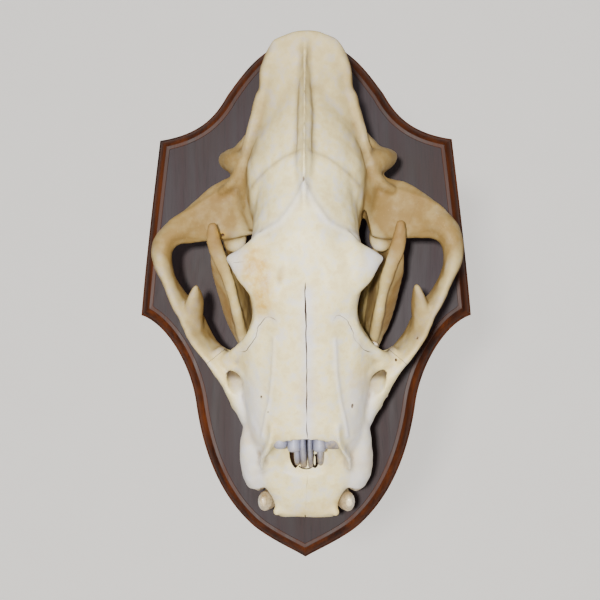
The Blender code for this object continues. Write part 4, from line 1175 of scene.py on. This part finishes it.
def keep_side(thing, side):
    """Keep the largest piece that lies wholly on one side."""
    keep_only(thing, lambda group: min(side * v.co.x for face in group for v in face.verts) > ARCH_START)


# Middle of the rolled bones and cleft in the partition between them
MIDLINE = 1.7
CLEFT = 1.3


def scroll(x, girth, rows, rings=40, around=28):
    """One rolled bone of the nose: rows of y, z, half width and half height."""
    stations = [(x, y, z, wide * girth, tall) for y, z, wide, tall in rows]
    return tube(stations, rings=rings, around=around, along=FORWARD)


def nose_bones():
    """Rolled bones and partition in the nose opening."""
    inner_rows = ((55.8, 123, 3.6, 8), (56.6, 123, 4.6, 11), (59, 123, 5.2, 12.5), (64, 122, 5.4, 13),
                  (88, 120, 5.4, 13))
    outer_rows = ((58, 124, 4, 4), (59, 124, 6, 7), (61.5, 124, 7.2, 9.5), (65, 123, 7.4, 11),
                  (88, 119, 5, 12))
    lobe_rows = ((42.6, 92, 1.5, 5), (44.6, 96, 2.3, 8), (50, 103, 2.7, 10), (58, 108, 2.8, 12),
                 (80, 110, 2.4, 14))
    leaf_rows = ((41.2, 96, 0.8, 3), (43, 97, 0.95, 5), (48, 101, 1, 9), (54, 107, 1, 15), (61, 115, 1, 20),
                 (90, 118, 1, 20))
    scrolls = []
    # each side has its own places and, for the outer scroll and the leaf of the partition, its own width
    for side, inner, outer, girth, lobe, leaf, leaf_width in (
            (-1, 10.2, 19.2, 0.76, 8.4, -1.75, 2.85), (1, 9.6, 21.2, 1.0, 9.8, 3.8, 2.3)):
        scrolls.append(scroll(side * inner + MIDLINE, 1, inner_rows))
        scrolls.append(scroll(side * outer, girth, outer_rows))
        scrolls.append(scroll(side * lobe + MIDLINE, 1, lobe_rows, rings=30, around=20))
        scrolls.append(scroll(leaf, leaf_width, leaf_rows, around=24))
    bones = build("nose_bones", scrolls)
    points = coordinates(bones)
    x, y, z = points.T
    off_middle = np.abs(x - MIDLINE)
    # painted shade in the nose opening: less pale towards the sides and low down, darker low down, near
    # black at the back and along the cleft of the partition
    white = 1.0 - 0.6 * ramp(off_middle, 14.5, 17.5) + 0.2 * NOISE(points, 30.0) - 0.8 * fall(z, 104, 118)
    cleft_shade = 0.9 * fall(np.abs(x - CLEFT), 0.3, 0.5)
    deep = np.maximum(ramp(y, 66, 72) + 0.7 * fall(z, 92, 101), cleft_shade)
    paint(bones, white=white, tan=0.25 - 0.25 * white, grime=0.4 * fall(z, 102, 120), deep=deep)
    return bones


def fine_teeth(name, parts):
    """Teeth melted from their cones into one smooth surface."""
    teeth = build(name, parts)
    merge_surface(teeth, TOOTH_VOXEL, 4)
    return teeth


def fine_jaw(name, side):
    """One lower jaw without its teeth."""
    jaw = build(name, facing(jaw_bodies(), side))
    merge_surface(jaw, VOXEL, 20)
    keep_largest(jaw)
    points = coordinates(jaw)
    lift = 0.2 * NOISE(points, 40.0) + 0.08 * NOISE(points, 13.0)
    place(jaw, points + normals(jaw) * lift[:, None])
    trims = [block((-20, -20, -30), (SEAM / 2, 300, 80)), block((-20, -20, -30), (150, 300, SEAM))]
    cut(jaw, facing(trims, side))
    keep_largest(jaw)
    knuckle = facing([roller(CONDYLE_RADIUS, CONDYLE_HALF_LENGTH, 40)], side)
    combine(jaw, [build("knuckle", knuckle)], "UNION")
    keep_largest(jaw)
    tint(jaw)
    return jaw


def bezier(start, first, second, end, steps):
    """Points along one curve, without its end point."""
    t = np.arange(steps)[:, None] / steps
    start, first, second, end = (np.array(p, dtype=float) for p in (start, first, second, end))
    return (1 - t) ** 3 * start + 3 * t * (1 - t) ** 2 * first + 3 * t * t * (1 - t) * second + t ** 3 * end


def board_outline():
    """The shield's outline, clockwise from the middle of its top: x and z."""
    corner_x = CORNER[0]
    point_x, point_z = SIDE_POINT
    waist_x, waist_z = WAIST
    right = np.vstack([
        bezier((0, BOARD_TOP), (36, BOARD_TOP - 3), (52, BOARD_TOP - 26.5), (69, 179), 24),
        bezier((69, 179), (79, 161), (92, 144.5), CORNER, 20),
        bezier(CORNER, (corner_x + 6, 87), (corner_x + 12, 36), SIDE_POINT, 20),
        bezier(SIDE_POINT, (point_x - 22, point_z - 7), (waist_x + 5, waist_z + 34), WAIST, 24),
        bezier(WAIST, (waist_x - 5, waist_z - 36), (78, -172), (44, -200.5), 24),
        bezier((44, -200.5), (29, -212), (10, -220), (0, BOARD_TIP), 14),
    ])
    left = right[1:][::-1] * np.array([-1.0, 1.0])
    return np.vstack([right, [[0, BOARD_TIP]], left])


def inset(outline, distance):
    """The outline moved inwards with mitred corners."""
    before = np.roll(outline, 1, axis=0) - outline
    after = np.roll(outline, -1, axis=0) - outline
    before = before / np.linalg.norm(before, axis=1)[:, None]
    after = after / np.linalg.norm(after, axis=1)[:, None]
    normal_a = np.column_stack([before[:, 1], -before[:, 0]]) * -1
    normal_b = np.column_stack([after[:, 1], -after[:, 0]])
    bisector = normal_a + normal_b
    bisector = bisector / np.linalg.norm(bisector, axis=1)[:, None]
    slant = np.sum(bisector * normal_b, axis=1)
    moved = outline + bisector * (distance / np.maximum(slant, 0.3))[:, None]
    corners = np.flatnonzero(slant < 0.97)
    gaps = distance_to(moved, np.vstack([outline, outline[:1]]))
    for k in np.flatnonzero(gaps < distance - 0.02):
        nearest = corners[np.argmin(np.linalg.norm(outline[corners] - outline[k], axis=1))]
        moved[k] = moved[nearest]
    return moved


# Moulding of the board's edge: distance in from the outline and height off the wall
MOULDING = (
    (0.0, 0.0), (0.0, 6.0), (0.25, 6.8), (0.8, 7.3), (1.4, 7.9), (1.9, 9.0), (2.6, 11.2), (3.9, 13.6),
    (5.5, 15.9), (7.0, 17.4), (7.9, 18.1), (8.2, 19.0), (8.4, 19.9), (8.6, 20.0), (11.3, 19.79),
    (11.6, 19.2),
)
BEAD = (8.5, 11.2)


def fine_board(face, edge, bead):
    """Shield with its moulded edge in one piece, the flat face in its own material with a painted sheen."""
    outline = board_outline()
    mesh = bmesh.new()
    rings = []
    for distance, height in MOULDING:
        ring = inset(outline, distance) if distance else outline
        rings.append([mesh.verts.new((x * MM, -height * MM, z * MM)) for x, z in ring])
    count = len(outline)
    for number, (low, high) in enumerate(zip(rings[:-1], rings[1:])):
        finish = 2 if BEAD[0] <= MOULDING[number][0] < BEAD[1] else 1
        for k in range(count):
            n = (k + 1) % count
            mesh.faces.new((low[k], low[n], high[n], high[k])).material_index = finish
    mesh.faces.new(rings[0][::-1]).material_index = 1
    top = rings[-1]
    half = count // 2
    for k in range(half):
        corners = (top[k], top[k + 1], top[-k - 1], top[-k % count])
        mesh.faces.new(dict.fromkeys(corners)).material_index = 0
    bmesh.ops.remove_doubles(mesh, verts=mesh.verts[:], dist=0.000005)
    bmesh.ops.dissolve_degenerate(mesh, edges=mesh.edges[:], dist=0.000005)
    bmesh.ops.recalc_face_normals(mesh, faces=mesh.faces[:])
    data = bpy.data.meshes.new("shield")
    mesh.to_mesh(data)
    mesh.free()
    board = put("shield", data)
    for surface in (face, edge, bead):
        data.materials.append(surface)
    data.shade_smooth()
    data.set_sharp_from_angle(angle=math.radians(28))
    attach(board, "root")
    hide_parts("plaque")


def plane(name, corners, surface):
    """Flat backdrop or floor."""
    data = bpy.data.meshes.new(name)
    data.from_pydata(corners, [], [(0, 1, 2, 3)])
    data.materials.append(surface)
    sheet = put(name, data)


def plaster_material(name, glow):
    """Pale matt paint of the floor and of the evenly lit backdrop."""
    surface, shader, add, link = shader_nodes(name)
    where = add("ShaderNodeTexCoord").outputs["Object"]
    cloud = add("ShaderNodeTexNoise", Vector=where, Scale=9.0, Detail=4.0).outputs["Fac"]
    link(mix(add, cloud, srgb(226, 222, 216), srgb(232, 229, 224)), shader.inputs["Base Color"])
    set_inputs(shader, Roughness=0.9, Emission_Color=srgb(244, 240, 234), Emission_Strength=glow)
    return surface


def look(thing, where, aim):
    """Set a lamp or a camera in its place and turn it to a point."""
    thing.location = where
    thing.rotation_euler = (Vector(aim) - Vector(where)).to_track_quat("-Z", "Y").to_euler()


def lamp(name, where, aim, size, power, colour):
    """Square soft light aimed at a point."""
    data = bpy.data.lights.new(name, "AREA")
    data.size = size
    data.energy = power
    data.color = colour
    look(put(name, data), where, aim)


bone = bone_material("bone", srgb(238, 224, 168), srgb(134, 108, 56), srgb(210, 210, 221), 0.5)
jaw_bone = bone_material("jaw_bone", srgb(214, 194, 130), srgb(128, 98, 48), srgb(222, 214, 188), 0.5)
# the nose bones in a darker, greyer copy of the bone: painted shade of the bones inside the nose opening
nose_bone = bone_material("nose_bone", srgb(122, 119, 126), srgb(116, 98, 76), srgb(166, 169, 190), 0.45)
enamel = enamel_material()
# the face's walnut with a purple-grey tone: painted sheen of its varnish; the moulding's red-brown is the
# wood's own colour
walnut = wood_material("walnut_face", srgb(44, 28, 27), srgb(26, 15, 15), srgb(42, 31, 40), 0.5, 0.18)
moulding = wood_material("walnut_edge", srgb(92, 44, 14), srgb(30, 9, 3), srgb(50, 22, 8), 0.55, 0.12)
# the strip on the moulding's inner edge: the moulding's walnut painted darker, as painted shade
bead = wood_material("walnut_bead", srgb(66, 31, 13), srgb(32, 12, 6), srgb(42, 21, 10), 0.38, 0.1)

fine_board(walnut, moulding, bead)
skull, left_arch, right_arch = fine_skull()
dress(skull, bone, "cranium")
dress(left_arch, bone, "zygomatic_arch_left")
dress(right_arch, bone, "zygomatic_arch_right")
dress(nose_bones(), nose_bone, None)
dress(fine_teeth("upper_teeth", both(upper_teeth())), enamel, None)
for name, side in (("left", 1), ("right", -1)):
    dress(fine_jaw("jaw_bone_" + name, side), jaw_bone, "mandible_" + name)
    dress(fine_teeth("lower_teeth_" + name, facing(lower_teeth(), side)), enamel, None)

# Backdrop and floor stand clear of the board, so that its back can be seen too
REACH = 4.0
BACKDROP_Y = 2.2
FLOOR_Z = -1.2
plane("backdrop", [(-REACH, BACKDROP_Y, FLOOR_Z), (REACH, BACKDROP_Y, FLOOR_Z), (REACH, BACKDROP_Y, REACH),
                   (-REACH, BACKDROP_Y, REACH)], plaster_material("backdrop_paint", 0.75))
plane("floor", [(-REACH, -REACH, FLOOR_Z), (REACH, -REACH, FLOOR_Z), (REACH, BACKDROP_Y, FLOOR_Z),
                (-REACH, BACKDROP_Y, FLOOR_Z)], plaster_material("floor_paint", 0.0))

lamp("key", (-0.045, -1.62, -0.02), (0, 0, 0), 0.06, 44, (1.0, 0.98, 0.95))
lamp("fill", (-0.36, -1.7, 0.86), (0, 0, 0.05), 1.3, 16, (0.96, 0.97, 1.0))
world = bpy.data.worlds.new("studio")
bpy.context.scene.world = world
world.use_nodes = True
sky = world.node_tree.nodes["Background"].inputs
sky["Color"].default_value = (0.93, 0.95, 1.0, 1.0)
sky["Strength"].default_value = 0.26

lens = bpy.data.cameras.new("camera")
lens.lens = 81.75
lens.sensor_width = 36.0
camera = put("camera", lens)
look(camera, (0.040, -1.200, -0.047), (-0.005, 0, -0.002))
bpy.context.scene.camera = camera
